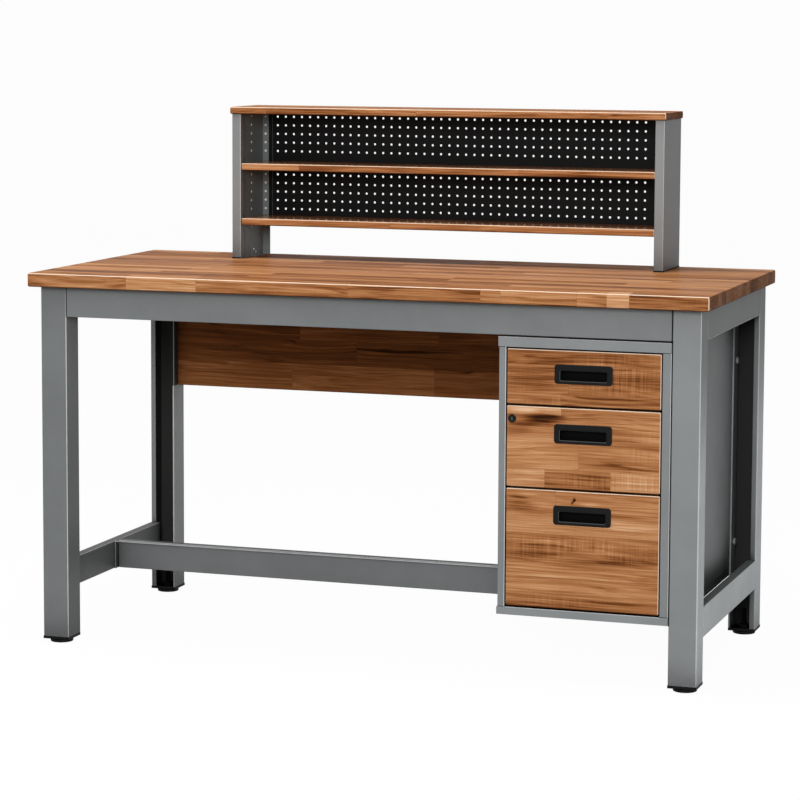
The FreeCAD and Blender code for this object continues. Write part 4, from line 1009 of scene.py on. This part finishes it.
# Pulls: a bezel with rounded rim, and a cup behind it whose mouth sits low
pullShape = {
    # half width, half height and corner radius of each rectangle
    "back": (0.056, 0.016, 0.002), "rim": (0.061, 0.020, 0.006), "mouth": (0.049, 0.010, 0.0024),
    "cup": (0.054, 0.014, 0.003), "inmost": (0.001, 0.001, 0.0005),
    # inset, corner's inset and share of how far the bezel stands proud
    "rimRound": [(0.0, 0.0, 0.0), (0.0, 0.0, 0.5), (0.0003, 0.0003, 0.82), (0.0011, 0.001, 1.0)],
    "mouthRound": [(-0.0016, -0.0012, 1.0), (-0.0006, -0.0004, 0.75), (0.0, 0.0, 0.2), (0.0, 0.0, 0.0)],
    "proud": 0.002, "drop": 0.003, "depth": 0.017, "cupWall": 0.002, "cornerSteps": 5,
}


def pullRings(shape, x, z, face):
    # Rectangles from the bezel's back over its rim and face and in through the mouth, then the cup's
    # own rectangles from the mouth to its floor and back along its outside
    low, floor = z - shape["drop"], face + shape["depth"]

    def row(key, depth, middleZ, inset=0.0, cornerInset=0.0):
        wide, tall, corner = shape[key]
        return wide - inset, tall - inset, corner - cornerInset, depth, x, middleZ

    bezel = [row("back", face, z)]
    for key, rounding, middleZ in (("rim", "rimRound", z), ("mouth", "mouthRound", low)):
        bezel += [row(key, face - share * shape["proud"], middleZ, inset, cornerInset)
                  for inset, cornerInset, share in shape[rounding]]
    innerFloor = floor - shape["cupWall"]
    cup = [row("mouth", face, low), row("cup", face, z), row("cup", innerFloor, z), row("inmost", innerFloor, z),
           row("inmost", floor, z), row("back", floor, z), row("back", face, z)]
    return [rectRings(rows, (0, 2, 1), shape["cornerSteps"]) for rows in (bezel, cup)]


for drawer in ("top", "middle", "bottom"):
    low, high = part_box("pull_" + drawer)
    middle = (low + high) / 2
    bezel, cup = pullRings(pullShape, middle.x, middle.z, low.y + pullShape["proud"])
    title = drawer.capitalize()
    finishPiece(joinedRings(title + "PullBezel", [bezel], True), "drawer_" + drawer, "black_plastic", blackPlastic,
                "pull_" + drawer)
    # The cup is black plastic, darkened further as painted shade
    finishPiece(joinedRings(title + "PullCup", [cup], True), "drawer_" + drawer, "black_plastic", recessShadeBlack)

# Lock: turned housing with a rounded rim. The plug keeps its own shape, and a grey block in its keyway is a painted
# glint
lockShape = {
    "bore": 0.00558, "barrel": 0.008, "rim": 0.00875, "rimThick": 0.0015, "sides": 40,
    "rimRound": [(0.0, 0.0), (0.0, 0.0008), (0.0003, 0.0013), (0.0009, 0.0015)],    # inset, rise
    "mouth": (0.0005, 0.0004),
    "keyway": {"halfWide": 0.0011, "halfTall": 0.0030, "depths": (0.0002, 0.0020), "edge": 0.0002},
}
low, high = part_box("lock_housing")
face = low.y + lockShape["rimThick"]
bore, barrel, rim = lockShape["bore"], lockShape["barrel"], lockShape["rim"]
profile = [(bore, high.y), (barrel, high.y), (barrel, face)]
profile += [(rim - inset, face - rise) for inset, rise in lockShape["rimRound"]]
profile += [(bore + lockShape["mouth"][0], low.y), (bore, low.y + lockShape["mouth"][1])]
rings = turnedRings(profile, (lockMiddle.x, lockMiddle.z), (0, 2, 1), lockShape["sides"])
finishPiece(joinedRings("LockHousing", [rings], True), "drawer_middle", "black_powder_coat", blackPlastic,
            "lock_housing")
key, plugY = lockShape["keyway"], lockLow.y
ends = [(lockMiddle.x + side * key["halfWide"], plugY + depth, lockMiddle.z + side * key["halfTall"])
        for side, depth in zip((-1, 1), key["depths"])]
finishPiece(joinedRings("LockKeywayGlint", [roundedBlockRings(*ends, key["edge"])]), "lock", "zinc_steel", greyCoat)
print("pulls and lock ready")

# Feet: moulded pads and threaded stems
footShape = {
    "pad": [(0.0215, 0.0), (0.0240, 0.0003), (0.0249, 0.0014), (0.025, 0.0030), (0.025, 0.0054), (0.0246, 0.0064),
            (0.0228, 0.0080), (0.0214, 0.0087), (0.0056, 0.0087), (0.0051, 0.0082), (0.0051, 0.003)],
    "padSides": 40, "stemSides": 20, "threadPitch": 0.0015, "threadOuter": 0.005, "threadInner": 0.0043,
}
for corner in legCorners:
    low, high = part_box("foot_stem_" + corner)
    centre = ((low.x + high.x) / 2, (low.y + high.y) / 2)
    title = camelName(corner)
    rings = turnedRings(footShape["pad"], centre, (0, 1, 2), footShape["padSides"])
    finishPiece(joinedRings(title + "Pad", [rings]), "pad_" + corner, "black_plastic", blackPlastic,
                "foot_pad_" + corner)
    steps = np.arange(low.z, high.z, footShape["threadPitch"] / 2)
    radii = np.where(np.arange(len(steps)) % 2, footShape["threadOuter"], footShape["threadInner"])
    rings = turnedRings(np.stack([radii, steps], axis=-1), centre, (0, 1, 2), footShape["stemSides"])
    finishPiece(joinedRings(title + "Stem", [rings]), "stem_" + corner, "zinc_steel", blackCoat,
                "foot_stem_" + corner)
print("feet ready")

# Riser: folded uprights with lips, inner plates with rivets, perforated panels
riserShape = {
    "wall": 0.0015, "bend": 0.0022, "frontLip": 0.030, "rearLip": 0.0135,
    "rivet": {"radius": 0.0029, "dome": 0.0009, "sides": 10, "setBack": 0.070, "lift": 0.003, "flangeIn": 0.0065,
              "lowest": 0.882, "profile": [(1.0, 0.0), (0.85, 0.6), (0.4, 1.0)]},   # shares of radius and dome
    "field": {"columns": 45, "rows": 5, "pitch": 0.020, "holeRadius": 0.00265},
    "fieldShift": -0.010, "lift": {"upper": 0.0065, "lower": -0.0005},
    "seam": {"front": 0.0030, "below": 0.0040, "above": 0.0004, "edge": 0.0002},
    "fold": {"wide": 0.0016, "in": 0.0095}, "middle": 0.025,
}
wall, rivet, field = riserShape["wall"], riserShape["rivet"], riserShape["field"]
panels = {level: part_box("pegboard_" + level) for level in ("upper", "lower")}
holeRows = (np.arange(field["rows"]) - (field["rows"] - 1) / 2) * field["pitch"]
rivetHeights = np.concatenate([(low.z + high.z) / 2 + riserShape["lift"][level] + holeRows
                               for level, (low, high) in panels.items()] + [[rivet["lowest"]]])
for hand in ("left", "right"):
    title = "Riser" + hand.capitalize()
    low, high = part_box("riser_upright_" + hand)
    inX, outX = (high.x, low.x) if hand == "left" else (low.x, high.x)
    path = [(inX, low.y + riserShape["frontLip"]), (inX, low.y), (outX, low.y), (outX, high.y), (inX, high.y),
            (inX, high.y - riserShape["rearLip"])]
    rings = carriedRings(foldedSection(path, riserShape["bend"], wall), (low.z, high.z))
    # The uprights take the lit copy of the grey, as painted light
    steelPiece(title + "Upright", [rings], greyCoats["Light"], "riser_upright_" + hand)

    # Inner plate with its rear flange, in a grey darkened as painted shade, and a column of domed rivets on each,
    # in a pale coat brightened as a painted glint
    low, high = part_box("riser_plate_" + hand)
    inX, outX, inward = (high.x, low.x, 1) if hand == "left" else (low.x, high.x, -1)
    webX = outX + inward * wall
    flangeY = panels["upper"][1].y
    section = np.array([(outX, low.y), (outX, high.y), (webX, high.y), (webX, flangeY + wall),
                        (inX, flangeY + wall), (inX, flangeY), (webX, flangeY), (webX, low.y)])
    steelPiece(title + "Plate", [carriedRings(section, (low.z, high.z))], shadedGrey, "riser_plate_" + hand)
    rivetY, flangeX = low.y + rivet["setBack"], webX + inward * rivet["flangeIn"]
    dome = [(share * rivet["radius"], rise * rivet["dome"]) for share, rise in rivet["profile"]]
    stacks = [turnedRings([(r, webX + inward * d) for r, d in dome], (rivetY, z + rivet["lift"]), (1, 2, 0),
                          rivet["sides"]) for z in rivetHeights]
    stacks += [turnedRings([(r, flangeY - d) for r, d in dome], (flangeX, z), (0, 2, 1), rivet["sides"])
               for z in rivetHeights]
    finishPiece(joinedRings(title + "Rivets", stacks), "frame", "zinc_steel", rivetGlintCoat)

# Riser brackets: small bent angles with two screws each
bracketShape = {
    "wall": 0.0015, "bend": 0.003, "foot": 0.012, "screws": [(0.012, 0.016), (0.024, 0.009)], "screwSides": 14,
    "head": [(0.0032, 0.0), (0.0028, 0.0010), (0.0012, 0.0014)],    # radius, rise
}
low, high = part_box("riser_brackets")
stacks, heads = [], []
for inward, wallX in ((1, low.x), (-1, high.x)):
    path = [(wallX, high.z), (wallX, low.z), (wallX + inward * bracketShape["foot"], low.z)]
    section = foldedSection(path, bracketShape["bend"], bracketShape["wall"])
    stacks.append(carriedRings(section, (low.y, high.y), (0, 2, 1)))
    face = wallX + inward * bracketShape["wall"]
    profile = [(radius, face + inward * rise) for radius, rise in bracketShape["head"]]
    heads += [turnedRings(profile, (low.y + run, low.z + rise), (1, 2, 0), bracketShape["screwSides"])
              for run, rise in bracketShape["screws"]]
# The brackets take the grey darkened as painted shade
steelPiece("RiserBrackets", stacks, shadedGrey, "riser_brackets")
finishPiece(joinedRings("BracketScrews", heads), "frame", "zinc_steel", zincSteel)

for level, (low, high) in panels.items():
    title, middle = level.capitalize(), (low + high) / 2
    place = (middle.x + riserShape["fieldShift"], middle.z + riserShape["lift"][level])
    sheet = holedSheet(title + "Pegboard", {**field, "middle": place}, (low.x, low.z), (high.x, high.z), (0, 2, 1),
                       low.y, high.y - low.y)
    finishPiece(sheet, "frame", "black_powder_coat", blackCoat, "pegboard_" + level)
    # Painted shade: a dark strip in the groove between the shelf's eased rear edge and the panel
    seam, shelfTop = riserShape["seam"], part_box("riser_shelf_" + level)[1].z
    strip = roundedBlockRings((low.x, low.y - seam["front"], shelfTop - seam["below"]),
                              (high.x, low.y, shelfTop + seam["above"]), seam["edge"])
    finishPiece(joinedRings(title + "ShelfSeamShade", [strip]), "frame", "black_powder_coat", recessShadeBlack)
    # Painted highlights: grey strips on the folded edges, seen as pale lines beside the outer columns of holes
    x, half = low.x + riserShape["fold"]["in"], riserShape["fold"]["wide"] / 2
    stacks = [roundedBlockRings((side - half, low.y - half, low.z), (side + half, low.y, high.z), half / 2)
              for side in (x, 2 * riserShape["middle"] - x)]
    finishPiece(joinedRings(title + "PegboardFoldHighlights", stacks), "frame", "black_powder_coat", foldHighlightGrey)
print("riser ready")
